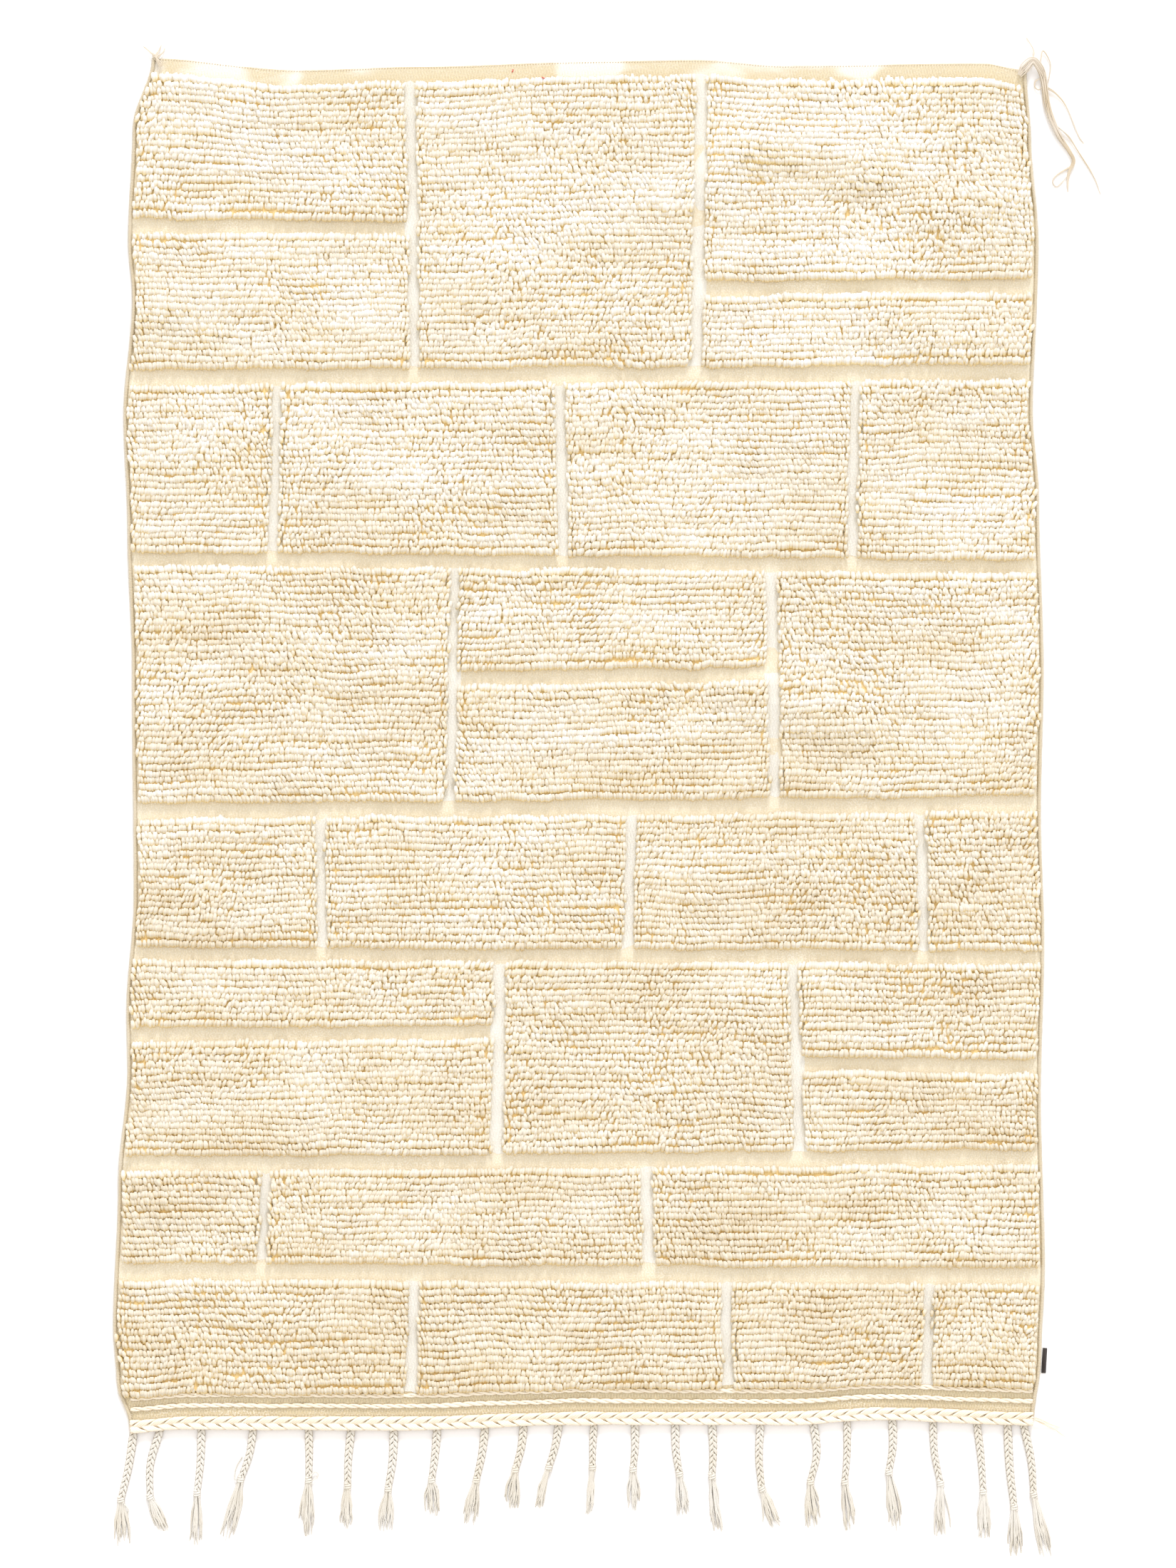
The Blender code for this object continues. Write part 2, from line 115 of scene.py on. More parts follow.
# Outline and bare heading: stations, and the value at each, which a smooth line runs through
LEFT_EDGE = (  # y, x
    (-1190, -796), (-1116, -819), (-1016, -825), (-767, -816), (-568, -800), (-468, -802), (-268, -789),
    (130, -792), (379, -800), (579, -807), (778, -791), (878, -799), (1077, -791), (1199, -757),
)
RIGHT_EDGE = (  # y, x
    (-1190, 786), (-1066, 800), (-916, 806), (-617, 799), (-343, 805), (-119, 799), (130, 804), (429, 796),
    (579, 785), (878, 795), (1052, 782), (1177, 774),
)
HEAD_EDGE = (  # x, y
    (-757, 1199), (-498, 1178), (-299, 1184), (50, 1194), (199, 1196), (349, 1186), (698, 1190), (774, 1177),
)
FOOT_EDGE = (  # x, y
    (-796, -1204), (-700, -1197), (-324, -1198), (0, -1189), (350, -1189), (520, -1181), (786, -1190),
)
HEAD_BARE = (  # x, and how much of the tan ground shows there
    (-757, 0.5), (-735, 1.0), (-670, 0.9), (-640, 0.15), (-610, 0.55), (-540, 0.5), (-510, 0.0), (-480, 1.0),
    (-60, 1.0), (-20, 0.1), (40, 0.25), (80, 0.75), (440, 0.6), (480, 0.1), (520, 0.8), (740, 0.9),
    (774, 0.4),
)

# Channels left bare in the pile: courses of blocks of uneven height and length, jointed like stonework
Seam = namedtuple("Seam", "y rise width")  # across the whole rug, rise from one side to the other
Joint = namedtuple("Joint", "course x lean width")  # up through one course
Split = namedtuple("Split", "x0 x1 y rise width")  # across one block

REACH = 860.0
HEAD_LINE = Seam(1172, 0, 0)
FOOT_LINE = Seam(-1140, 0, 0)
SEAMS = tuple(Seam(*row) for row in (
    (646, 10, 31), (318, -16, 28), (-110, 14, 32), (-368, -8, 28), (-726, 14, 30), (-924, -10, 33),
))
LINES = (HEAD_LINE, *SEAMS, FOOT_LINE)
JOINTS = tuple(Joint(*row) for row in (
    (0, -300, -8, 26), (0, 200, 10, 28), (1, -540, 8, 25), (1, -40, -10, 27), (1, 470, 6, 26),
    (2, -230, 10, 25), (2, 330, -8, 28), (3, -460, -6, 26), (3, 80, 8, 25), (3, 590, -6, 27),
    (4, -150, 6, 28), (4, 370, -10, 26), (5, -560, 4, 25), (5, 110, -6, 27), (6, -300, 6, 26),
    (6, 250, -4, 28), (6, 600, 4, 25),
))
SPLITS = tuple(Split(*row) for row in (
    (-REACH, -300, 905, -8, 29), (200, REACH, 800, 6, 30), (-230, 330, 120, 10, 29),
    (370, REACH, -560, -8, 31), (-REACH, -150, -505, 6, 28),
))

# Waves where the cloth stands off the floor: both ends of a crest, its spread and its height
RIDGES = (
    (300, 1060, 490, 1012, 78, 12), (290, 1050, 205, 975, 66, 8), (-800, 745, -610, 805, 70, 8),
    (610, 928, 790, 978, 70, 9), (560, 735, 790, 690, 74, 7), (270, 96, 480, 42, 76, 9),
    (-820, -705, -715, -815, 66, 6),
)

# Fringe: where each plait leaves the edge, its knot, the tip of its brush and its sideways bow
PLAITS = (
    (-787, -810, -1320, -804, -1399, 2), (-740, -759, -1315, -736, -1376, -9),
    (-669, -677, -1309, -680, -1395, 2), (-578, -601, -1285, -627, -1390, 4),
    (-482, -482, -1286, -482, -1379, 1), (-407, -414, -1296, -417, -1369, -2),
    (-333, -343, -1301, -348, -1372, 3), (-257, -267, -1286, -268, -1346, 1),
    (-173, -189, -1286, -203, -1360, 2), (-106, -121, -1268, -128, -1335, 3),
    (-44, -62, -1263, -80, -1335, 2), (17, 14, -1263, 12, -1343, -1), (88, 85, -1267, 87, -1335, 2),
    (159, 166, -1275, 173, -1345, -3), (223, 223, -1279, 237, -1372, 2), (308, 310, -1301, 335, -1366, -4),
    (399, 395, -1289, 399, -1365, 9), (459, 455, -1289, 462, -1370, 2), (538, 532, -1272, 542, -1370, 4),
    (609, 622, -1291, 628, -1379, -4), (685, 697, -1306, 697, -1386, 2), (739, 751, -1333, 756, -1414, -2),
    (766, 785, -1311, 806, -1419, 5),
)

# Loose yarns: points of a bundle's middle line, each with half of the bundle's width there
TASSEL = (
    (760, 1168, 9, 3), (769, 1181, 11, 7), (783, 1194, 11, 5), (796, 1180, 9, 6), (803, 1160, 5, 7),
    (810, 1112, 4, 6.5), (827, 1068, 4, 6), (847, 1037, 3, 4.5), (855, 1019, 3, 3.5), (846, 996, 2, 2.5),
    (845, 966, 1, 1.5),
)
TASSEL_WISPS = (
    ((803, 1150, 5, 2), (824, 1137, 3, 1.5), (843, 1113, 2, 1), (862, 1067, 1, 1), (873, 1050, 1, 1)),
    ((820, 1085, 5, 2), (845, 1064, 3, 2), (865, 1034, 2, 2), (888, 997, 1.5, 2), (905, 954, 1, 1)),
    ((781, 1192, 9, 1), (785, 1212, 4, 1), (773, 1235, 1, 1)),
    ((796, 1190, 9, 1), (801, 1212, 4, 1), (814, 1192, 2, 1), (812, 1166, 2, 1), (804, 1140, 3, 1)),
    ((800, 1164, 5, 0.5), (789, 1160, 3, 0.5), (787, 1150, 2, 0.5), (794, 1144, 3, 0.5), (804, 1152, 5, 0.5)),
    ((852, 1010, 2, 1), (828, 996, 1.5, 1), (819, 985, 1.2, 1), (826, 975, 1.2, 1), (843, 992, 2, 1)),
)
TUFT = (
    (-741, 1184, 8, 3), (-747, 1196, 9, 5), (-754, 1206, 7, 3),
)
TUFT_WISPS = (
    ((-751, 1202, 8, 2), (-762, 1212, 4, 1), (-772, 1221, 1, 1)),
    ((-749, 1202, 8, 2), (-744, 1212, 4, 1), (-739, 1222, 1, 1)),
    ((-746, 1200, 8, 2), (-737, 1209, 4, 1), (-734, 1217, 1, 1)),
)
EDGE_YARN_ENDS = (
    ((786, -1179, 8, 3), (801, -1188, 5, 2), (820, -1196, 2, 1.5), (841, -1210, 1, 1)),
    ((788, -1177, 9, 3), (812, -1187, 4, 1.5), (832, -1194, 1, 1)),
)
FRINGE_STRAYS = (
    ((-600, -1282, 6, 1), (-611, -1284, 3, 1), (-609, -1264, 2, 1), (-598, -1245, 1.5, 1)),
    ((-480, -1280, 7, 1), (-471, -1271, 4, 1), (-465, -1277, 3, 1), (-471, -1284, 4, 1), (-480, -1288, 7, 1)),
    ((-809, -1322, 6, 1), (-802, -1330, 5, 1), (-797, -1339, 3, 1), (-802, -1352, 2, 1)),
)
FLECKS = {  # stray dyed fibres, each where it lies and the way that it points
    "red": ((-706, -1131, 9, 0.3), (-125, 1177, 4, 1.2), (-72, 1163, 15.5, -0.4)),
    "blue": ((171, -222, 17, 0.2),),
}
FLECK_COLOURS = {"red": (0.72, 0.10, 0.09), "blue": (0.15, 0.42, 0.72)}
FLECK_LENGTH = 6.0

# Thickness of a loose yarn from one end to the other
FLECK_TAPER = (0.5, 1, 1, 1, 1, 0.5)
BRUSH_TAPER = (1, 1.05, 1.1, 1.1, 1.05, 0.9, 0.5)

# Label tab: it is laid beside the selvedge
LABEL_MIDDLE_Y = -1077.0
LABEL_LENGTH = 44.0
LABEL_SHOWING = 8.0
LABEL_THICKNESS = 1.2
LABEL_CLEARANCE = 0.95
LABEL_ROUNDING = 0.45

# How each kind of yarn is wound, in metres and radians
TWINED_CORD = {
    "Period": 0.040, "Side_Reach": 0.0024, "Up_Reach": 0.0012, "Up_Turns": 1.0, "Up_Phase": math.pi / 2,
    "Radius": 0.0023, "Ply_Lag": 0.09, "Flatness": 0.75, "Step": 0.005, "Sides": 5,
}
EDGE_PLAIT = {
    "Period": 0.081, "Side_Reach": 0.0096, "Up_Reach": 0.0036, "Up_Turns": 2.0, "Up_Phase": 0.0,
    "Radius": 0.0026, "Ply_Lag": 0.06, "Flatness": 0.8, "Step": 0.006, "Sides": 5,
}
FRINGE_PLAIT = {
    "Period": 0.0315, "Side_Reach": 0.0050, "Up_Reach": 0.0024, "Up_Turns": 2.0, "Up_Phase": 0.0,
    "Radius": 0.0021, "Ply_Lag": 0.09, "Flatness": 0.75, "Step": 0.0026, "Sides": 4,
}
FRINGE_KNOT = {
    "Period": 0.0038, "Side_Reach": 0.0047, "Up_Reach": 0.0032, "Up_Turns": 1.0, "Up_Phase": math.pi / 2,
    "Radius": 0.0021, "Flatness": 0.85, "Step": 0.0004, "Sides": 5,
}
SELVEDGE_WRAP = {
    "Width": SELVEDGE_WIDTH * MM, "Height": (SELVEDGE_HEIGHT + 0.4) * MM, "Slant": 0.12, "Scatter": 0.1,
    "Segments": 4,
}
HEAD_STITCH = {
    "Pitch": 0.0048, "Length": 0.0030, "Width": 0.0022, "Height": 0.0016, "Slant": 0.5, "Scatter": 0.35,
    "Segments": 4,
}
# Foot Shade is painted shade on the side of each tuft that faces the foot, away from the key light
PILE_TUFT = {"Shoulder": 0.76, "Foot_Shade": 0.17, "Scatter": 0.07, "Size_Scatter": 0.13}
BUNDLE_YARN = {"Radius": 0.0011, "Sides": 5}
BRUSH_YARN = {"Radius": 0.0014, "Sides": 4}
FLECK_YARN = {"Radius": 0.0009, "Sides": 5}
LOOSE_RISE = 0.8

# Colours that aren't among the settings; each hollow one is painted shade for the low sides of its yarn
PLAIT_HOLLOW_SHADE = (0.60, 0.42, 0.21)
WRAP_HOLLOW_SHADE = (0.58, 0.49, 0.34)
STITCH_YARN = (0.62, 0.54, 0.42)
STITCH_HOLLOW_SHADE = (0.36, 0.28, 0.18)
WARP_END = (0.73, 0.68, 0.61)
WARP_HOLLOW_SHADE = (0.40, 0.33, 0.22)

# Stage, in metres and radians
FLOOR_REACH = 30.0
FLOOR_DROP = 0.0005
KEY_SOFTNESS = math.radians(14)
KEY_TURN = math.radians(-6)
KEY_COLOUR = (1.0, 1.0, 1.05)
FILL_COLOUR = (1.0, 0.96, 0.93, 1)
CAMERA_PLACE = (0.0062, -0.0692, 9.0)
CAMERA_SEES = 2.7412
CAMERA_SENSOR = 36.0
CAMERA_CLIP = 100.0

LATTICE = 97  # cells along each side of a lattice of random numbers


# ---- the rug's own shape


def blend(a, b, share):
    return a + (b - a) * share


def smooth(share):
    share = np.clip(share, 0.0, 1.0)
    return share * share * (3 - 2 * share)


def through(stations, at):
    """Values at many places of a smooth line through the stations, level past both ends."""
    places, values = np.array(stations, float).T
    low = np.clip(np.searchsorted(places, at, side="right") - 1, 0, len(places) - 2)
    return blend(values[low], values[low + 1], smooth((at - places[low]) / (places[low + 1] - places[low])))


def lift(x, y):
    """How far the waves hold the cloth off the floor."""
    total = np.zeros(np.broadcast(x, y).shape)
    for x0, y0, x1, y1, spread, height in RIDGES:
        run_x, run_y = x1 - x0, y1 - y0
        along = np.clip(((x - x0) * run_x + (y - y0) * run_y) / (run_x**2 + run_y**2), 0, 1)
        distance = np.hypot(x - x0 - run_x * along, y - y0 - run_y * along) / spread
        total += height * np.clip(1 - distance**2, 0, None) ** 2
    return total


def ripple(x, y, size, seed):
    """Smooth random waves from -1 to 1, each about as wide as size."""
    lattice = np.random.default_rng(seed).uniform(-1, 1, (LATTICE, LATTICE))

    def at(i, j):
        return lattice[i % LATTICE, j % LATTICE]

    u, v = np.asarray(x) / size + 1000, np.asarray(y) / size + 1000
    i, j = np.floor(u).astype(int), np.floor(v).astype(int)
    s, t = smooth(u - i), smooth(v - j)
    return blend(blend(at(i, j), at(i + 1, j), s), blend(at(i, j + 1), at(i + 1, j + 1), s), t)


def on_cloth(u, v, side=0.0):
    """Places at shares u across and v up the cloth, between lines set in from its long sides."""
    x = blend(LEFT_EDGE[0][1], RIGHT_EDGE[0][1], np.asarray(u, float))
    for _ in range(3):
        y = blend(through(FOOT_EDGE, x) + GROUND_EDGE_RISE, through(HEAD_EDGE, x), v)
        x = blend(through(LEFT_EDGE, y) + side, through(RIGHT_EDGE, y) - side, u)
    return x, y


def seam_y(seam, x):
    return seam.y + seam.rise * x / (2 * REACH)


def course_top(course, x):
    """The upper border of a course: the seam above it, or the heading."""
    seam = LINES[course]
    return seam_y(seam, x) - seam.width / 2 if course else through(HEAD_EDGE, x) - HEADING_DEPTH


def course_bottom(course, x):
    """The lower border of a course: the seam below it, or the corded foot."""
    seam = LINES[course + 1]
    if seam is FOOT_LINE:
        return through(FOOT_EDGE, x) + GROUND_EDGE_RISE + PILE_FOOT
    return seam_y(seam, x) + seam.width / 2


def joint_x(joint, side, y):
    high, low = LINES[joint.course], LINES[joint.course + 1]
    return joint.x + joint.lean * ((y - low.y) / (high.y - low.y) - 0.5) + side * joint.width / 2


def split_y(split, side, x):
    slope, middle = split.rise / (split.x1 - split.x0), (split.x0 + split.x1) / 2
    return split.y + slope * (x - middle) + side * split.width / 2


def pile_left(y):
    return through(LEFT_EDGE, y) + SELVEDGE_WIDTH + PILE_INSET


def pile_right(y):
    return through(RIGHT_EDGE, y) - SELVEDGE_WIDTH - PILE_INSET


def blocks():
    """Each block of pile as its left, right, lower and upper border, which give a place for places."""
    for course, (high, low) in enumerate(zip(LINES, LINES[1:])):
        joints = [joint for joint in JOINTS if joint.course == course]
        lefts = [pile_left, *(partial(joint_x, joint, 1) for joint in joints)]
        rights = [*(partial(joint_x, joint, -1) for joint in joints), pile_right]
        bottom, top = partial(course_bottom, course), partial(course_top, course)
        for left, right in zip(lefts, rights):
            middle = (left(low.y) + right(low.y)) / 2
            splits = [s for s in SPLITS if s.x0 < middle < s.x1 and low.y < s.y < high.y]
            if splits:
                yield left, right, bottom, partial(split_y, splits[0], -1)
                yield left, right, partial(split_y, splits[0], 1), top
            else:
                yield left, right, bottom, top


def in_block(block, u, v, side=0.0):
    """Places at shares u across and v up a block, between lines set in from its sides."""
    left, right, bottom, top = block
    x = blend(left(0.0), right(0.0), u)
    for _ in range(3):
        y = blend(bottom(x), top(x), v)
        x = blend(left(y) + side, right(y) - side, u)
    return x, y


def block_size(block):
    """About how wide and how tall a block is."""
    left, right, bottom, top = block
    x, y = in_block(block, 0.5, 0.5)
    return right(y) - left(y), top(x) - bottom(x)


# ---- meshes


def new_object(name, data):
    made = bpy.data.objects.new(name, data)
    bpy.context.scene.collection.objects.link(made)
    return made


def mesh_object(name, mesh, surface):
    mesh.materials.append(surface)
    return new_object(name, mesh)


def slab(shape, x, y, bottom, top):
    """Adds to a bmesh a closed sheet over a grid of places, in millimetres."""
    rows, columns = x.shape
    place = shape.verts.layers.int.get("place") or shape.verts.layers.int.new("place")
    made = bmesh.ops.create_grid(shape, x_segments=columns - 1, y_segments=rows - 1, size=1.0)["verts"]
    for corner in made:
        column = round((corner.co.x + 1) / 2 * (columns - 1))
        row = round((corner.co.y + 1) / 2 * (rows - 1))
        corner[place] = row * columns + column
        corner.co = (x[row, column] * MM, y[row, column] * MM, bottom[row, column] * MM)
    faces = list({face for corner in made for face in corner.link_faces})
    raised = bmesh.ops.extrude_face_region(shape, geom=faces)["geom"]
    for corner in raised:
        if isinstance(corner, bmesh.types.BMVert):
            corner.co.z = top.flat[corner[place]] * MM


def outward_mesh(name, shape):
    """A mesh of a bmesh, with its faces turned outward."""
    bmesh.ops.recalc_face_normals(shape, faces=shape.faces)
    mesh = bpy.data.meshes.new(name)
    shape.to_mesh(mesh)
    shape.free()
    return mesh


def mark(mesh, key, values):
    """Gives every vertex its number, or all of them the same one."""
    numbers = np.empty(len(mesh.vertices), np.float32)
    numbers[:] = values
    mesh.attributes.new(key, "FLOAT", "POINT").data.foreach_set("value", numbers)


def vertex_places(mesh):
    """The x, y and z of all vertices."""
    places = np.empty(len(mesh.vertices) * 3, np.float32)
    mesh.vertices.foreach_get("co", places)
    return places.reshape(-1, 3).T


def even_piece(name, shape, surface, rise):
    """A piece from a bmesh, with the same rise all over."""
    mesh = outward_mesh(name, shape)
    mark(mesh, "rise", rise)
    return mesh_object(name, mesh, surface)


def guide_mesh(name, lines, **values):
    """Chains of edges through the lines' points, in millimetres, with a value of each kind at each point."""
    points = [point for line in lines for point in line]
    edges, start = [], 0
    for line in lines:
        edges += [(start + i, start + i + 1) for i in range(len(line) - 1)]
        start += len(line)
    mesh = bpy.data.meshes.new(name)
    mesh.from_pydata([[c * MM for c in point[:3]] for point in points], edges, [])
    for key, numbers in values.items():
        mark(mesh, key, numbers)
    return mesh


def rounded(line, count):
    """A smooth curve of count points through the line's points (a Catmull-Rom spline)."""
    points = np.array(line, float)
    ends = np.vstack([2 * points[0] - points[1], points, 2 * points[-1] - points[-2]])
    at = np.linspace(0, len(points) - 1, count)
    low = np.minimum(at.astype(int), len(points) - 2)
    t = (at - low)[:, None]
    a, b, c, d = (ends[low + i] for i in range(4))
    return 0.5 * (2 * b + (c - a) * t + (2 * a - 5 * b + 4 * c - d) * t**2 + (3 * b - a - 3 * c + d) * t**3)


# ---- node trees


class Flow:
    """What a node gives out. A sum with it adds a node to the same tree."""

    def __init__(self, socket):
        self.socket, self.tree = socket, socket.id_data

    def by(self, operation, *others):
        kind = "ShaderNodeMath" if self.socket.type in {"VALUE", "INT"} else "ShaderNodeVectorMath"
        return flow(self.tree, kind, dict(enumerate((self, *others))), operation=operation)

    __add__ = partialmethod(by, "ADD")
    __sub__ = partialmethod(by, "SUBTRACT")
    __mul__ = partialmethod(by, "MULTIPLY")
    __truediv__ = partialmethod(by, "DIVIDE")

    def __rsub__(self, other):
        return self * -1.0 + other

    def scaled(self, amount):
        return flow(self.tree, "ShaderNodeVectorMath", {0: self, "Scale": amount}, operation="SCALE")

    def parts(self):
        return flows(add(self.tree, "ShaderNodeSeparateXYZ", {0: self})).values()


def add(tree, kind, inputs=None, **settings):
    """Adds a node. Each input is given a value, or a flow that is linked to it."""
    made = tree.nodes.new(kind)
    for name, value in settings.items():
        setattr(made, name, value)
    for key, value in (inputs or {}).items():
        if isinstance(value, Flow):
            tree.links.new(value.socket, made.inputs[key])
        else:
            made.inputs[key].default_value = value
    return made


def flow(tree, kind, inputs=None, give=0, **settings):
    """Adds a node and hands out one of its outputs."""
    return Flow(add(tree, kind, inputs, **settings).outputs[give])


def flows(node):
    return {socket.name: Flow(socket) for socket in node.outputs}


def spaced(values):
    """Underscores in the names of inputs stand for spaces."""
    return {key.replace("_", " "): value for key, value in values.items()}


def xyz(tree, x, y, z):
    return flow(tree, "ShaderNodeCombineXYZ", {0: x, 1: y, 2: z})


def mixed(tree, share, a, b, way="MIX"):
    """A mix of two colours, each a flow or three numbers."""
    a, b = (colour if isinstance(colour, Flow) else (*colour, 1) for colour in (a, b))
    return flow(tree, "ShaderNodeMix", {0: share, 6: a, 7: b}, 2, data_type="RGBA", blend_type=way)


def once(maker):
    """Makes a node group when the file has none of its name yet."""

    @wraps(maker)
    def wanted(*details):
        name = "_".join(str(part) for part in (maker.__name__, *details))
        return bpy.data.node_groups.get(name) or maker(name, *details)

    return wanted


def open_inputs(tree, values):
    """Gives a tree its named inputs, each with a default or a kind, and hands out what they give."""
    for key, value in spaced(values).items():
        kind = value if isinstance(value, str) else "Int" if isinstance(value, int) else "Float"
        socket = tree.interface.new_socket(key, in_out="INPUT", socket_type="NodeSocket" + kind)
        if value != kind:
            socket.default_value = value
    return flows(tree.nodes.new("NodeGroupInput"))


def shape_tree(name, **values):
    """Starts a Geometry Nodes tree."""
    tree = bpy.data.node_groups.new(name, "GeometryNodeTree")
    tree.interface.new_socket("Geometry", in_out="OUTPUT", socket_type="NodeSocketGeometry")
    return tree, open_inputs(tree, {"Geometry": "Geometry", **values, "Material": "Material"})


def end_tree(geometry, given):
    """Realizes, smooths and paints what a tree has made, and hands it out."""
    tree = geometry.tree
    real = flow(tree, "GeometryNodeRealizeInstances", {0: geometry})
    even = flow(tree, "GeometryNodeSetShadeSmooth", {0: real, 2: True})
    add(tree, "NodeGroupOutput", {0: flow(tree, "GeometryNodeSetMaterial", {0: even, 2: given["Material"]})})
    return tree


def named(tree, name, kind="FLOAT"):
    return flow(tree, "GeometryNodeInputNamedAttribute", {"Name": name}, data_type=kind)


def with_rise(geometry, rise):
    """Writes how far each vertex stands out, which the materials read to paint the low parts darker as painted
    shade.
    """
    inputs = {0: geometry, "Name": "rise", "Value": rise}
    return flow(geometry.tree, "GeometryNodeStoreNamedAttribute", inputs)


def scattered(given, spread, offset):
    """Random vectors that reach as far as the spread to every side."""
    wide = xyz(spread.tree, spread, spread, spread)
    inputs = {0: wide * (-1, -1, -1), 1: wide, "Seed": given["Seed"] + float(offset)}
    return flow(spread.tree, "FunctionNodeRandomValue", inputs, data_type="FLOAT_VECTOR")


def turned(rotation, angle):
    """A rotation turned about its own Z."""
    turn = flow(angle.tree, "FunctionNodeAxisAngleToRotation", {"Axis": (0, 0, 1), "Angle": angle})
    return flow(angle.tree, "FunctionNodeRotateRotation", {0: rotation, 1: turn}, rotation_space="LOCAL")


def even_curve(given, step):
    curve = flow(step.tree, "GeometryNodeMeshToCurve", {0: given["Geometry"]})
    return flow(step.tree, "GeometryNodeResampleCurve", {0: curve, "Length": step}, mode="LENGTH")


def tube(curve, given):
    """A yarn along a curve, as thick as its attribute thick says."""
    tree = curve.tree
    sizes = {"Resolution": given["Sides"], "Radius": given["Radius"]}
    ring = flow(tree, "GeometryNodeCurvePrimitiveCircle", sizes)
    inputs = {0: curve, 1: ring, "Scale": named(tree, "thick"), "Fill Caps": True}
    return flow(tree, "GeometryNodeCurveToMesh", inputs)


@once
def yarn_tufts(name):
    """Sets a bent-over tuft of yarn on every point.

    The attribute lie is the way that its root leans, turn the way that its crown points and swell its size.
    """
    tree, given = shape_tree(
        name, Length=0.015, Width=0.007, Reach=0.013, Shoulder=0.82, Foot_Shade=0.1, Scatter=0.1,
        Size_Scatter=0.1, Seed=1,
    )
    ball = flow(tree, "GeometryNodeMeshUVSphere", {"Segments": 6, "Rings": 2, "Radius": 1.0})
    side, along, up = flow(tree, "GeometryNodeInputPosition").parts()
    crest, root = up.by("MAXIMUM", 0.0), up.by("MINIMUM", 0.0) + 1.0
    rise = root * given["Shoulder"] + crest * (1.0 - given["Shoulder"])
    # Painted shade: the rise is lowered on each tuft's foot side, away from the key light, so the material
    # paints that side deeper and warmer
    shaded_rise = along * given["Foot Shade"] + (root * (1.0 - crest) * 0.1 + rise)
    place = xyz(tree, side * (given["Width"] * 0.5), along * (given["Reach"] * 0.577), rise * given["Length"])
    tuft = flow(tree, "GeometryNodeSetPosition", {0: with_rise(ball, shaded_rise), 2: place})
    lie = named(tree, "lie", "FLOAT_VECTOR") + scattered(given, given["Scatter"], 0)
    leaning = flow(tree, "FunctionNodeAlignRotationToVector", {"Vector": lie}, axis="Z")
    swell = named(tree, "swell")
    size = xyz(tree, swell, swell, swell) * (scattered(given, given["Size Scatter"], 31) + (1.0, 1.0, 1.0))
    inputs = {0: given["Geometry"], 2: tuft, 5: turned(leaning, named(tree, "turn")), 6: size}
    return end_tree(flow(tree, "GeometryNodeInstanceOnPoints", inputs), given)


@once
def wound_yarn(name, strands, plies):
    """Winds plied strands about guide lines: a plait where Up Turns is 2, a twist or a coil where it is 1."""
    tree, given = shape_tree(
        name, Period=0.03, Side_Reach=0.004, Up_Reach=0.003, Up_Turns=2.0, Up_Phase=0.0, Radius=0.003,
        Ply_Lag=0.05, Flatness=1.0, Step=0.002, Sides=6,
    )
    even = even_curve(given, given["Step"])
    thick = named(tree, "thick")
    aside = flow(tree, "GeometryNodeInputTangent").by("CROSS_PRODUCT", (0, 0, 1)).by("NORMALIZE")
    turns = flow(tree, "GeometryNodeSplineParameter", give="Length") / given["Period"]
    joined = add(tree, "GeometryNodeJoinGeometry")
    # The first link to a join is its last part, so the strands are joined from last to first
    for strand, ply in reversed(list(itertools.product(range(strands), range(plies)))):
        lag = given["Ply Lag"] * (ply - (plies - 1) / 2) + strand / strands
        angle = (turns + lag) * math.tau
        sway = angle.by("SINE") * given["Side Reach"]
        hop = (angle * given["Up Turns"] + given["Up Phase"]).by("SINE") * given["Up Reach"]
        shift = aside.scaled(sway * thick) + xyz(tree, 0.0, 0.0, hop * thick)
        moved = flow(tree, "GeometryNodeSetPosition", {0: even, 3: shift})
        tree.links.new(tube(moved, given).socket, joined.inputs[0])
    x, y, z = flow(tree, "GeometryNodeInputPosition").parts()
    half = given["Up Reach"] + given["Radius"]
    # Painted shade: the low side of every strand gets a low rise, which the material paints in its hollow
    # colour
    strands_made = with_rise(Flow(joined.outputs[0]), z / half * 0.5 + 0.5)
    low = xyz(tree, x, y, (z + half) * given["Flatness"] + named(tree, "floor"))
    return end_tree(flow(tree, "GeometryNodeSetPosition", {0: strands_made, 2: low}), given)


@once
def stitch_row(name):
    """Sets a row of slanting stitches along guide lines."""
    tree, given = shape_tree(
        name, Pitch=0.003, Length=0.003, Width=0.006, Height=0.003, Slant=0.0, Scatter=0.1, Segments=5, Seed=3
    )
    ball = flow(tree, "GeometryNodeMeshUVSphere", {"Segments": given["Segments"], "Rings": 3, "Radius": 0.5})
    _, _, z = flow(tree, "GeometryNodeInputPosition").parts()
    tangent = flow(tree, "GeometryNodeInputTangent")
    along = flow(tree, "FunctionNodeAlignRotationToVector", {"Vector": tangent}, axis="X")
    spread = {2: 1.0 - given["Scatter"], 3: given["Scatter"] + 1.0, "Seed": given["Seed"]}
    uneven = flow(tree, "FunctionNodeRandomValue", spread, 1, data_type="FLOAT")
    # Painted shade: the lower half of every stitch gets a low rise, which the material paints in its hollow
    # colour
    stitch = {
        0: even_curve(given, given["Pitch"]),
        2: with_rise(ball, z + 0.5),
        5: turned(along, given["Slant"] * uneven),
        6: xyz(tree, given["Length"], given["Width"] * uneven, given["Height"]),
    }
    return end_tree(flow(tree, "GeometryNodeInstanceOnPoints", stitch), given)


@once
def loose_yarn(name):
    """Draws yarns along guide lines."""
    tree, given = shape_tree(name, Radius=0.001, Sides=4)
    return end_tree(tube(flow(tree, "GeometryNodeMeshToCurve", {0: given["Geometry"]}), given), given)


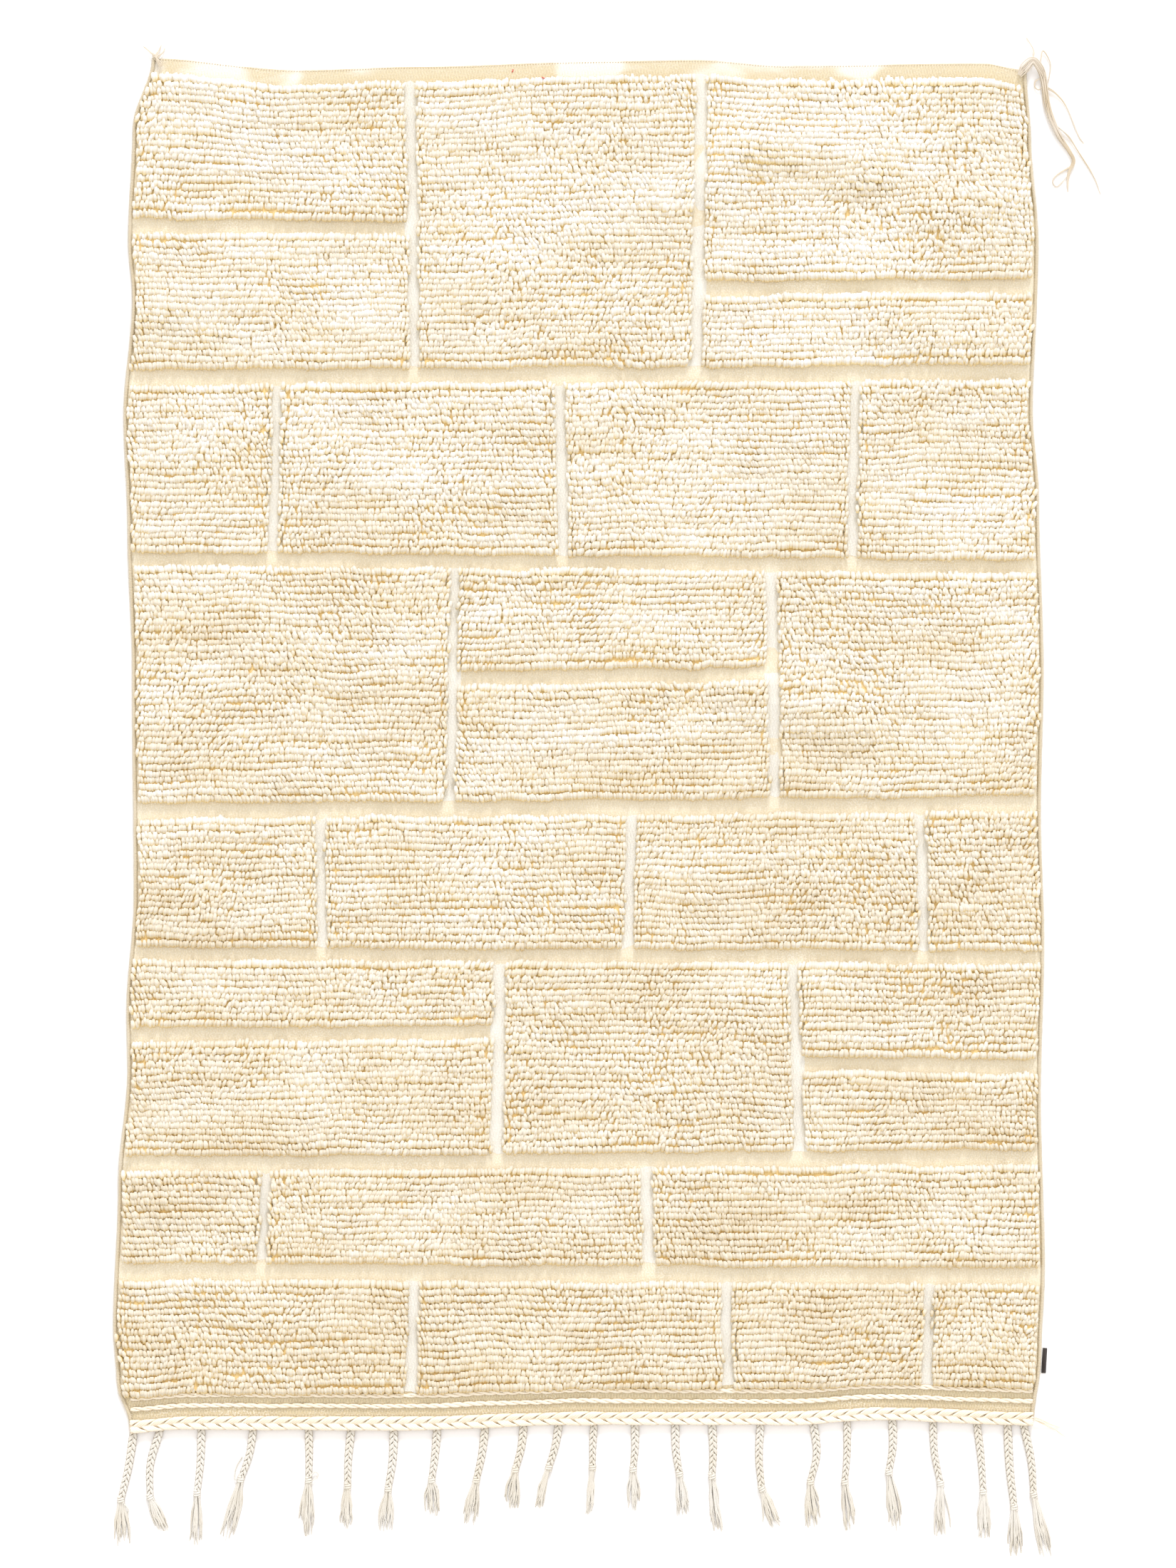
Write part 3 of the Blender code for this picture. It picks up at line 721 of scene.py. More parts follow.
def grow(name, guide, tree, surface, **values):
    """A plain mesh piece: what a tree makes of a guide mesh."""
    holder = new_object(name + "_guide", guide)
    modifier = holder.modifiers.new("grow", "NODES")
    modifier.node_group = tree
    wanted = spaced(values) | {"Material": surface}
    for item in tree.interface.items_tree:
        if item.in_out == "INPUT" and item.name in wanted:
            modifier[item.identifier] = wanted.pop(item.name)
    if wanted:
        raise RuntimeError(f"{tree.name} has no input named {sorted(wanted)}")
    mesh = bpy.data.meshes.new_from_object(holder.evaluated_get(bpy.context.evaluated_depsgraph_get()))
    holder.modifiers.remove(modifier)
    bpy.data.objects.remove(holder)
    if not mesh.polygons:
        raise RuntimeError(f"{name} came out empty")
    for spare in ("lie", "turn", "swell", "thick", "floor", "UVMap"):
        if spare in mesh.attributes:
            mesh.attributes.remove(mesh.attributes[spare])
    mesh.name = name
    return new_object(name, mesh)


def put(piece, slot, *nodes):
    """Sets a finished piece on the frame."""
    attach(piece, BODY)
    if nodes:
        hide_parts(*nodes)


# ---- materials

# How yarn darkens, in its random tone and in the painted light and shade of the pile's shade attribute: powers
# of its tone for red and for blue, which keep the dark of it warm
RED_POWER = 0.65
BLUE_POWER = 1.8
SHADE_DEPTH = 0.12

# Depth of the bumps, in metres
YARN_BUMP = 0.0006
GROUND_BUMP = 0.0009
TAPE_BUMP = 0.0002


def effect_group(name, **values):
    """Starts a shader node group."""
    group = bpy.data.node_groups.new(name, "ShaderNodeTree")
    return group, open_inputs(group, {"Vector": "Vector", **values})


def end_group(group, **results):
    """Gives a shader node group its outputs, and hands it out."""
    for key in results:
        group.interface.new_socket(key, in_out="OUTPUT", socket_type="NodeSocketFloat")
    add(group, "NodeGroupOutput", results)
    return group


def effect(group, place, **inputs):
    """Adds a shader node group to the tree that the place is in."""
    return flows(add(place.tree, "ShaderNodeGroup", {"Vector": place, **spaced(inputs)}, node_tree=group))


def noise(place, scale, detail):
    return flow(place.tree, "ShaderNodeTexNoise", {"Vector": place, "Scale": scale, "Detail": detail})


def ranged(value, low, high, way="SMOOTHSTEP"):
    """From 0 at low to 1 at high."""
    return flow(value.tree, "ShaderNodeMapRange", {0: value, 1: low, 2: high}, interpolation_type=way)


def attribute(tree, name):
    return flow(tree, "ShaderNodeAttribute", give="Fac", attribute_name=name, attribute_type="GEOMETRY")


@once
def plain_weave(name):
    """Ribs along the warp, crossed by the picks."""
    group, given = effect_group(name, Pick_Pitch=0.003, End_Pitch=0.003, Wander=0.001)
    wander = flow(group, "ShaderNodeTexNoise", {"Vector": given["Vector"], "Scale": 60.0, "Detail": 1.0}, 1)
    shift = (wander - (0.5, 0.5, 0.5)).scaled(given["Wander"])
    x, y, _ = (given["Vector"] + shift).parts()
    across = (x / given["End Pitch"] * math.pi).by("SINE")
    checks = across * (y / given["Pick Pitch"] * math.pi).by("SINE")
    height = checks * 0.35 + across.by("ABSOLUTE") * 0.65
    return end_group(group, Height=height, Thread=checks * 0.5 + 0.5)


@once
def spun_fibre(name):
    """Fine wool or cotton fibres, and the patchy tone of hand-spun yarn."""
    group, given = effect_group(name, Fibre_Scale=900.0, Patch_Scale=9.0)
    place, scale = given["Vector"], given["Fibre Scale"]
    height = noise(place, scale, 2.0) * 0.5 + noise(place, scale * 0.31, 1.0) * 0.5
    broad = noise(place * (0.4, 1.0, 1.0), given["Patch Scale"], 3.0)
    return end_group(group, Height=height, Patch=ranged(broad, 0.3, 0.7, "LINEAR"))


def new_surface(name, roughness, sheen):
    surface = bpy.data.materials.new(name)
    surface.use_nodes = True
    sockets = surface.node_tree.nodes["Principled BSDF"].inputs
    even = {"Roughness": roughness, "Specular IOR Level": 0.2, "Sheen Weight": sheen, "Sheen Roughness": 0.5}
    for key, value in even.items():
        sockets[key].default_value = value
    return surface, surface.node_tree, sockets


def object_place(tree):
    return flow(tree, "ShaderNodeTexCoord", give="Object")


def paint(sockets, colour, height, depth):
    """Gives a material its colour and its bumps."""
    bump = flow(colour.tree, "ShaderNodeBump", {"Strength": 1.0, "Distance": depth, "Height": height})
    for key, made in (("Base Color", colour), ("Normal", bump)):
        colour.tree.links.new(made.socket, sockets[key])


def yarn_surface(name, tip, root, low, high, patch, sheen=0.25, shaded=False, fibre=900.0):
    """Spun yarn, with painted shade: pale where it stands out, deeper and warmer in its hollows."""
    surface, tree, sockets = new_surface(name, 0.9, sheen)
    fibres = effect(spun_fibre(), object_place(tree), Fibre_Scale=fibre)
    colour = mixed(tree, ranged(attribute(tree, "rise"), low, high), root, tip)
    tone = fibres["Patch"] * -patch + 1.0
    if shaded:
        tone = tone * (attribute(tree, "shade") * -SHADE_DEPTH + 1.0)
    dark = {0: tone.by("POWER", RED_POWER), 1: tone, 2: tone.by("POWER", BLUE_POWER)}
    toned_and_shaded = flow(tree, "ShaderNodeCombineColor", dark)
    paint(sockets, mixed(tree, 1.0, colour, toned_and_shaded, "MULTIPLY"), fibres["Height"], YARN_BUMP)
    return surface


def ground_surface(name, tone, pale, foot, head):
    """Flat-woven ground: plain weave with pale fuzz caught in it, tan below the pile, partly its own tan and
    partly painted shade from the cords, and pale above it, partly pale fuzz and partly painted light.
    """
    surface, tree, sockets = new_surface(name, 0.95, 0.15)
    place = object_place(tree)
    weave = effect(plain_weave(), place, End_Pitch=0.0025, Pick_Pitch=0.009)
    fibres = effect(spun_fibre(), place, Patch_Scale=14.0, Fibre_Scale=700.0)
    mottle = ranged(noise(place, 330.0, 3.0), 0.42, 0.66)
    fuzz = mottle * (ranged(fibres["Patch"], 0.5, 1.0) * 0.5 + 0.45)
    # Foot colour: the ground's own tan with painted shade from the cords; head colour: pale fuzz with painted
    # light
    ribbed = mixed(tree, weave["Thread"], [c * 0.84 for c in foot], [c * 1.16 for c in foot])
    colour = mixed(tree, weave["Thread"] * 0.3 + fuzz, tone, pale)
    colour = mixed(tree, attribute(tree, "foot") * (fuzz * -0.8 + 1.0), colour, ribbed)
    bare = attribute(tree, "bare") + (fibres["Patch"] * 1.1 - 0.55)
    bare = ranged(bare, 0.3, 0.8) * (fuzz * -0.3 + 1.0)
    heading = attribute(tree, "head")
    colour = mixed(tree, heading * 0.7, colour, ribbed)
    colour = mixed(tree, heading * (1.0 - bare), colour, head)
    height = weave["Height"] * 0.7 + (mottle * 0.25 + fibres["Height"] * 0.5)
    paint(sockets, colour, height, GROUND_BUMP)
    return surface


# ---- settings

Colour = partial(FloatVectorProperty, subtype="COLOR")
Length = partial(FloatProperty, unit="LENGTH")


class RugPileSettings(bpy.types.PropertyGroup):
    """Sizes and colours of the pile"""

    row_pitch: Length(name="Row Pitch", description="From one row of knots to the next", default=0.0112)
    spacing: Length(name="Tuft Spacing", description="From one tuft to the next in a row", default=0.0044)
    length: Length(name="Tuft Length", description="Length of a tuft above the ground", default=0.0155)
    width: Length(name="Tuft Width", description="Width of a tuft along its row", default=0.0079)
    reach: Length(name="Tuft Reach", description="Length of a tuft's crown across its row", default=0.0146)
    lean: FloatProperty(
        name="Lean", description="How far the nap leans to the foot", default=0.3, subtype="FACTOR"
    )
    pieces: IntProperty(name="Pieces", description="Bands that the pile is made in", default=5)
    seed: IntProperty(name="Seed", description="Start of the random draws", default=11)
    tip: Colour(name="Tip Colour", description="Wool in the light", default=(0.80, 0.792, 0.775))
    # Root Colour and Bed Colour are painted shade: the deep golden tan of the hollows between the rows and the
    # tufts
    root: Colour(name="Root Colour", description="Wool between the rows", default=(0.96, 0.785, 0.355))
    bed: Colour(name="Bed Colour", description="Packed roots under the tufts", default=(0.88, 0.73, 0.41))


class RugGroundSettings(bpy.types.PropertyGroup):
    """Colours of the flat-woven ground, its selvedges and its label"""

    tone: Colour(name="Ground Colour", description="Threads of the ground", default=(0.76, 0.69, 0.52))
    pale: Colour(name="Fuzz Colour", description="Pale fuzz on the ground", default=(0.92, 0.88, 0.77))
    fuzzy: Colour(
        name="Joint Colour", description="Ground in the upright channels", default=(0.775, 0.775, 0.73)
    )
    # Foot Colour is partly the ground's own tan and partly painted shade from the cords; Heading Colour is
    # partly pale fuzz and partly painted light
    foot: Colour(name="Foot Colour", description="Ground between the cords", default=(0.64, 0.55, 0.36))
    head: Colour(name="Heading Colour", description="Ground above the pile", default=(0.85, 0.82, 0.755))
    selvedge: Colour(name="Selvedge Colour", description="Wrapping yarn", default=(0.66, 0.60, 0.475))
    wrap_pitch: Length(name="Wrap Pitch", description="From one wrap to the next", default=0.0027)
    tab: Colour(name="Tab Colour", description="Bare label tab", default=(0.022, 0.017, 0.015))


class RugFringeSettings(bpy.types.PropertyGroup):
    """Sizes and colours of the cords and the fringe"""

    cotton: Colour(name="Cotton Colour", description="Fringe in the light", default=(0.75, 0.735, 0.69))
    # Hollow Colour is painted shade for the low sides of the fringe's strands
    hollow: Colour(name="Hollow Colour", description="Between the strands", default=(0.42, 0.36, 0.26))
    cream: Colour(name="Cord Colour", description="Wool of the edge cords", default=(0.90, 0.845, 0.73))
    yarns: IntProperty(name="Brush Yarns", description="Loose yarns in each brush", default=20)
    seed: IntProperty(name="Seed", description="Start of the random draws", default=23)


class RugStageSettings(bpy.types.PropertyGroup):
    """Floor, light and camera"""

    floor: Colour(name="Floor Colour", description="Plain pale floor", default=(0.9, 0.9, 0.9))
    sun: FloatProperty(name="Key Light", description="Strength of the soft key light", default=1.9)
    fill: FloatProperty(name="Fill Light", description="Strength of the light from all round", default=1.235)
    elevation: FloatProperty(
        name="Key Elevation", description="Height of the key light", default=math.radians(28), subtype="ANGLE"
    )


# ---- pieces


def make_ground(settings):
    """The flat-woven cloth that everything is knotted into."""
    length = HEAD_EDGE[0][1] - FOOT_EDGE[0][1]
    foot, heading = (PILE_FOOT + 4) / length, HEADING_DEPTH / length
    under_pile = np.linspace(foot + GROUND_ROW_GAP, 1 - heading - GROUND_ROW_GAP, GROUND_ROWS)
    u, v = np.meshgrid(np.linspace(0, 1, GROUND_COLUMNS), [0, foot / 2, foot, *under_pile, 1 - heading, 1])
    x, y = on_cloth(u, v, GROUND_INSET)
    shape = bmesh.new()
    slab(shape, x, y, lift(x, y), lift(x, y) + GROUND_HEIGHT)
    mesh = outward_mesh("ground_cloth", shape)
    mesh.shade_smooth()
    mesh.set_sharp_from_angle(angle=math.radians(40))
    x, y, _ = vertex_places(mesh) / MM
    above_foot = y - through(FOOT_EDGE, x) - GROUND_EDGE_RISE - PILE_FOOT
    below_head = through(HEAD_EDGE, x) - HEADING_DEPTH - y
    # Where the ground is painted tan along the foot, partly painted shade from the cords, and pale at the
    # heading, partly painted light
    mark(mesh, "foot", above_foot < BORDER_REACH)
    mark(mesh, "head", below_head < BORDER_REACH)
    mark(mesh, "bare", through(HEAD_BARE, x))
    surface = ground_surface("woven_ground", settings.tone, settings.pale, settings.foot, settings.head)
    put(mesh_object("ground_cloth", mesh, surface), "ground_yarn", "rug_body")


def make_joints(settings):
    """The ground in the upright channels, where pale fuzz hides most of the threads."""
    shape = bmesh.new()
    for joint in JOINTS:
        v, side = np.meshgrid(np.linspace(0, 1, JOINT_ROWS), (-0.5, 0, 0.5), indexing="ij")
        x = joint.x + joint.lean * (v - 0.5) + side * (joint.width + JOINT_OVERLAP)
        low = course_bottom(joint.course, x) + JOINT_RAG * ripple(x, 0, 9, 62)
        high = course_top(joint.course, x) + JOINT_RAG * ripple(x, 0, 9, 61)
        y = blend(low, high, v)
        slab(shape, x, y, lift(x, y) + SINK, lift(x, y) + GROUND_HEIGHT + JOINT_RISE)
    pale = [c * 1.14 for c in settings.fuzzy]
    surface = ground_surface("joint_ground", settings.fuzzy, pale, settings.foot, settings.head)
    put(even_piece("joint_cloth", shape, surface, 1.0), "ground_yarn")


def make_bed(settings):
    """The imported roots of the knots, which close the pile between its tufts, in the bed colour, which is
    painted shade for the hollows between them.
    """
    shape = bmesh.new()
    for block in blocks():
        wide, tall = block_size(block)
        columns, rows = (max(2, round(size / BED_CELL)) + 1 for size in (wide, tall))
        across = np.linspace(BED_SIDE / wide, 1 - BED_SIDE / wide, columns)
        x, y = in_block(block, *np.meshgrid(across, np.linspace(BED_FOOT / tall, 1 - BED_HEAD / tall, rows)))
        slab(shape, x, y, lift(x, y) + SINK, lift(x, y) + BED_HEIGHT)
    surface = yarn_surface("pile_roots", settings.tip, settings.bed, 0.3, 1.0, patch=0.2, fibre=300.0)
    put(even_piece("pile_bed", shape, surface, 0.3), "pile_wool")


def block_tufts(block, settings, draw):
    """Where a block's tufts stand, how each leans and turns, its size and its shade, which holds painted light
    and painted shade.
    """
    wide, tall = block_size(block)
    rows, columns = round(tall * MM / settings.row_pitch), round(wide * MM / settings.spacing)
    row, column = np.meshgrid(np.arange(rows), np.arange(columns), indexing="ij")
    u = (column + draw.uniform(0.2, 0.8, (rows, 1)) + draw.uniform(-0.25, 0.25, row.shape)) / columns
    x, y = in_block(block, u, (row + 0.5) / rows, 0.5)
    left, right, bottom, top = block
    # How far each tuft leans out over the channels, and how far its place strays from its row
    gaps = np.stack([x - left(y), right(y) - x, y - bottom(x), top(x) - y])
    out = np.clip(1 - gaps / CHANNEL_PULL, 0, 1) ** 1.5
    out_x, out_y = out[1] - out[0], out[3] - out[2]
    loose = np.clip(0.65 + 0.6 * ripple(x, y, 130, 1) + 0.35 * ripple(x, y, 45, 2), 0.15, 1.4)
    inside = 1 - np.clip(out.sum(0), 0, 1)
    rag = 2.2 * ripple(x, y, 16, 4) + 1.8 * ripple(x, y, 60, 5)
    x = x + out_x * rag
    y = y + out_y * rag + inside * (3.4 * ripple(x, y, 85, 3) + 1.5 * ripple(x / 5, y, 12, 12))
    y = y + loose * draw.normal(0, 0.9, x.shape)
    down = settings.lean + 0.16 * ripple(x, y, 60, 6) + 0.12 * ripple(x / 5, y, 12, 13)
    down = down + loose * draw.normal(0, 0.09, x.shape)
    aside = 0.30 * ripple(x, y, 100, 7) + 0.22 * ripple(x, y, 30, 8)
    lie_x = 0.3 * aside + loose * draw.normal(0, 0.1, x.shape) + 0.5 * out_x
    lie = np.stack([lie_x, 0.35 * out_y - down, np.ones(x.shape)], -1)
    turn = 1.3 * aside + loose * draw.normal(0, 0.15, x.shape)
    yarn = ripple(x / 8, y, 12, 10)
    swell = 1 + 0.06 * ripple(x, y, 80, 9) + 0.07 * yarn + 0.05 * draw.normal(0, 1, x.shape).clip(-2, 2)
    # Shade: a random tone and a tone that changes from row to row, painted light on the rows along the head
    # side of a block, which face the key light, painted shade on the rows along its foot side, and darker
    # towards the foot of the rug
    shade = draw.uniform(0, 0.8, x.shape) - 0.35 * yarn - 0.8 * out[3] + 0.3 * out[2] + 0.45 - y / 2400
    # A tuft leans about its middle, so its root stands that much nearer to the head
    lead = 0.5 * settings.length / MM * math.sin(math.atan(settings.lean))
    place = np.stack([x, y + lead, lift(x, y) + GROUND_HEIGHT - 0.5], -1)
    return place.reshape(-1, 3) * MM, lie.reshape(-1, 3), turn.ravel(), swell.ravel(), shade.ravel()


def make_pile(settings):
    """Tufts of thick yarn in rows, leaning to the foot, over every block."""
    surface = yarn_surface("pile_wool", settings.tip, settings.root, 0.66, 0.99, patch=0.12, shaded=True)
    draw = np.random.default_rng(settings.seed)
    tufts = [block_tufts(block, settings, draw) for block in blocks()]
    counts = np.array([len(places) for places, *_ in tufts])
    middles = (np.cumsum(counts) - counts / 2) / counts.sum()
    for index in range(settings.pieces):
        taken = [tuft for tuft, middle in zip(tufts, middles) if int(middle * settings.pieces) == index]
        place, lie, turn, swell, shade = (np.concatenate(parts).astype(np.float32) for parts in zip(*taken))
        points = bpy.data.meshes.new("tuft_points")
        points.vertices.add(len(place))
        points.vertices.foreach_set("co", place.ravel())
        points.attributes.new("lie", "FLOAT_VECTOR", "POINT").data.foreach_set("vector", lie.ravel())
        for key, numbers in (("turn", turn), ("swell", swell), ("shade", shade)):
            mark(points, key, numbers)
        sizes = {"Length": settings.length, "Width": settings.width, "Reach": settings.reach, **PILE_TUFT}
        name = f"pile_tufts_{index + 1}"
        put(grow(name, points, yarn_tufts(), surface, Seed=settings.seed + index, **sizes), "pile_wool")


def make_selvedges(settings):
    """Wrapped cords along both long sides, and the stitched head edge."""
    wraps = yarn_surface("selvedge_yarn", settings.selvedge, WRAP_HOLLOW_SHADE, 0.2, 0.75, patch=0.12)
    v = np.linspace(0, 1, SIDE_POINTS)
    lines = []
    for u, side in ((0.0, 1), (1.0, -1)):
        x, y = on_cloth(np.full(v.shape, u), v)
        x = x + side * SELVEDGE_WIDTH / 2
        lines.append(np.stack([x, y, lift(x, y) + SELVEDGE_HEIGHT / 2 + 0.2], -1))
    sizes = {"Pitch": settings.wrap_pitch, "Length": settings.wrap_pitch * 1.75, **SELVEDGE_WRAP}
    guide = guide_mesh("selvedge_lines", lines)
    put(grow("selvedge_wraps", guide, stitch_row(), wraps, **sizes), "pile_wool")

    x, y = on_cloth(np.linspace(0.004, 0.996, SIDE_POINTS), 1.0)
    stitches = yarn_surface("head_yarn", STITCH_YARN, STITCH_HOLLOW_SHADE, 0.2, 0.8, patch=0.3)
    guide = guide_mesh("head_lines", [np.stack([x, y - 2.0, lift(x, y) + GROUND_HEIGHT], -1)])
    put(grow("head_stitches", guide, stitch_row(), stitches, **HEAD_STITCH), "pile_wool")


def edge_line(rise):
    """A line along the fringed edge."""
    x, y = on_cloth(np.linspace(0.002, 0.998, EDGE_POINTS), 0.0)
    return np.stack([x, y + rise - GROUND_EDGE_RISE, np.zeros(EDGE_POINTS)], -1)


def cord_guide(name, line, depth, size, seed):
    """A guide for a cord that lies on the ground, its thickness uneven in waves."""
    thick = 1 + depth * ripple(line[:, 0], 0, size, seed)
    return guide_mesh(name, [line], thick=thick, floor=GROUND_HEIGHT * MM)


def make_cords(settings):
    """The two twined cords across the foot, and the thick plait along the fringed edge."""
    cream = yarn_surface("twined_yarn", settings.cream, PLAIT_HOLLOW_SHADE, 0.25, 0.8, patch=0.08)
    for name, node, rise, shift in (
        ("upper_twined_yarns", "twined_cord_upper", UPPER_CORD_RISE, 0.0),
        ("lower_twined_yarns", "twined_cord_lower", LOWER_CORD_RISE, 9.9),
    ):
        line = edge_line(rise)
        line[:, 1] += 1.2 * ripple(line[:, 0] + shift, 0, 60, 40)
        guide = cord_guide(name, line, 0.12, 35, 41)
        put(grow(name, guide, wound_yarn(2, 2), cream, **TWINED_CORD), "ground_yarn", node)
    line = edge_line(EDGE_PLAIT_RISE)
    guide = cord_guide("edge_plait_line", line, 0.08, 50, 42)
    put(grow("edge_plait_yarns", guide, wound_yarn(3, 4), cream, **EDGE_PLAIT), "pile_wool", "edge_plait")
    shape = bmesh.new()
    x, y = line[:, 0] + [[0.0], [0.0]], line[:, 1] + [[-CORE_REACH], [CORE_REACH]]
    floor = np.full(x.shape, GROUND_HEIGHT)
    slab(shape, x, y, floor - SINK, floor + CORE_HEIGHT)
    # The core shows in the gaps of the plait; its rise paints it partway to the hollow colour, as painted shade
    put(even_piece("edge_plait_core", shape, cream, 0.55), "pile_wool")
    put(yarn_bundles("edge_yarn_ends", cream, (), EDGE_YARN_ENDS, 51), "pile_wool")


def yarn_bundles(name, surface, thick_lines, thin_lines, seed, count=0):
    """Bundles of loose yarns: as many as the count along each thick line, three along each thin one."""
    draw = np.random.default_rng(seed)
    lines, thick = [], []
    for line, many in [(line, count) for line in thick_lines] + [(line, 3) for line in thin_lines]:
        for _ in range(many):
            path = rounded(line, 5 * len(line))
            share = np.linspace(0, 1, len(path))
            side, up = draw.uniform(-1, 1), draw.uniform(-0.5, 1)
            twist = draw.uniform(-1.2, 1.2)
            wave = side * np.cos(twist * 3 * share) + 0.35 * ripple(share * 100, 0, 14, draw.integers(1e6))
            run = np.gradient(path[:, :2], axis=0)
            run /= np.linalg.norm(run, axis=1)[:, None]
            end = len(path) - draw.integers(0, max(1, len(path) // 7))
            x = path[:, 0] - run[:, 1] * wave * path[:, 3]
            y = path[:, 1] + run[:, 0] * wave * path[:, 3]
            z = np.maximum(path[:, 2] + 0.45 * up * path[:, 3], BUNDLE_YARN["Radius"] / MM)
            lines.append(np.stack([x, y, z], -1)[:end])
            thick.append(blend(1.0, 0.6, share[:end]))
    guide = guide_mesh(name, lines, thick=np.concatenate(thick))
    piece = grow(name, guide, loose_yarn(), surface, **BUNDLE_YARN)
    mark(piece.data, "rise", LOOSE_RISE)
    return piece


def brush_yarns(knot, brush, count, draw):
    """The loose yarns of a brush: the points of each, and its thickness there."""
    length = np.linalg.norm(brush)
    forward = brush / length
    step = np.linspace(0, 1, len(BRUSH_TAPER))
    fan, spread = draw.uniform(9.5, 14.5), draw.uniform(-2, 2)
    for _ in range(count):
        place, layer = draw.uniform(-1, 1), draw.uniform(0, 1)
        reach = draw.uniform(0.72, 1.05) if draw.uniform() > 0.12 else draw.uniform(0.35, 0.8)
        stray = draw.normal(0, 2.0) * (3 if draw.uniform() < 0.08 else 1)
        out = blend(4.0, fan, smooth(step * 1.5)) * place + stray * step**2 + spread * step
        out = out + draw.normal(0, 1.1, len(step)) * step
        middle = knot + np.outer(step * reach * length, forward) + np.outer(out, (-forward[1], forward[0]))
        z = blend(4.5 * layer + 2.0, 1.5 + 3.5 * layer * (1 - abs(place)), smooth(step * 1.6))
        points = np.column_stack([middle, np.maximum(z, BRUSH_YARN["Radius"] / MM)])
        yield points, draw.uniform(0.6, 1.2) * np.array(BRUSH_TAPER)


def make_fringe(settings):
    """Cotton plaits, each with its knot and the brush of loose yarns below it."""
    draw = np.random.default_rng(settings.seed)
    cotton = yarn_surface("fringe_cotton", settings.cotton, settings.hollow, 0.3, 0.85, patch=0.1, sheen=0.1)
    plaits, thick, coils, yarns = [], [], [], []
    for root_x, knot_x, knot_y, tip_x, tip_y, bow in PLAITS:
        edge_y = float(through(FOOT_EDGE, root_x))
        middle = ((root_x + knot_x) / 2 + bow, (edge_y + knot_y) / 2, 0)
        plaits.append(rounded([(root_x, edge_y + 6, 0), middle, (knot_x, knot_y, 0)], PLAIT_POINTS))
        share = np.linspace(0, 1, PLAIT_POINTS)
        thick.append(draw.uniform(0.92, 1.06) * (0.85 + 0.2 * smooth(share * 5)) * blend(1.08, 0.78, share))
        knot, brush = np.array([knot_x, knot_y], float), np.array([tip_x - knot_x, tip_y - knot_y], float)
        forward = brush / np.linalg.norm(brush)
        coils.append([(*(knot + forward * along), 0) for along in (-5, 1, 6)])
        yarns += brush_yarns(knot, brush, settings.yarns, draw)
    for stray in FRINGE_STRAYS:
        line = rounded([point[:3] for point in stray], STRAY_POINTS)
        yarns.append((line, np.linspace(0.9, 0.6, STRAY_POINTS)))

    guide = guide_mesh("plait_lines", plaits, thick=np.concatenate(thick), floor=0)
    put(grow("fringe_plaits", guide, wound_yarn(3, 2), cotton, **FRINGE_PLAIT), "fringe_cotton", "fringe")
    guide = guide_mesh("knot_lines", coils, thick=1, floor=0)
    put(grow("fringe_knots", guide, wound_yarn(1, 1), cotton, **FRINGE_KNOT), "fringe_cotton")
    lines, thick = zip(*yarns)
    guide = guide_mesh("brush_lines", lines, thick=np.concatenate(thick))
    piece = grow("fringe_brushes", guide, loose_yarn(), cotton, **BRUSH_YARN)
    # Painted shade: the brush yarns are painted darker the lower they lie
    _, _, z = vertex_places(piece.data)
    mark(piece.data, "rise", 0.45 + 0.55 * np.clip(z / 0.006, 0, 1))
    put(piece, "fringe_cotton")


def make_corners(settings):
    """Knotted warp ends at both corners of the head."""
    yarn = yarn_surface("warp_ends", WARP_END, WARP_HOLLOW_SHADE, 0.1, 0.8, patch=0.3, sheen=0.1)
    tassel = yarn_bundles("corner_tassel_yarns", yarn, (TASSEL,), TASSEL_WISPS, settings.seed + 1, 22)
    put(tassel, "fringe_cotton", "corner_tassel")
    tuft = yarn_bundles("corner_tuft_yarns", yarn, (TUFT,), TUFT_WISPS, settings.seed + 2, 12)
    put(tuft, "fringe_cotton", "corner_tuft")


def make_flecks():
    """A few stray dyed fibres caught in the wool."""
    step = np.linspace(-0.5, 0.5, len(FLECK_TAPER))
    run, bend = step * FLECK_LENGTH, 3 * FLECK_LENGTH * step**2 / 4
    for dye, flecks in FLECKS.items():
        lines = []
        for x, y, z, angle in flecks:
            across = run * math.cos(angle) - bend * math.sin(angle)
            along = run * math.sin(angle) + bend * math.cos(angle)
            lines.append(np.stack([x + across, y + along, z - 4 * step**2], -1))
        guide = guide_mesh(dye + "_lines", lines, thick=np.tile(FLECK_TAPER, len(lines)))
        colour = FLECK_COLOURS[dye]
        surface = yarn_surface(dye + "_wool", colour, [c * 0.5 for c in colour], 0.0, 1.0, patch=0.3)
        piece = grow(dye + "_flecks", guide, loose_yarn(), surface, **FLECK_YARN)
        mark(piece.data, "rise", LOOSE_RISE)
        put(piece, "pile_wool")


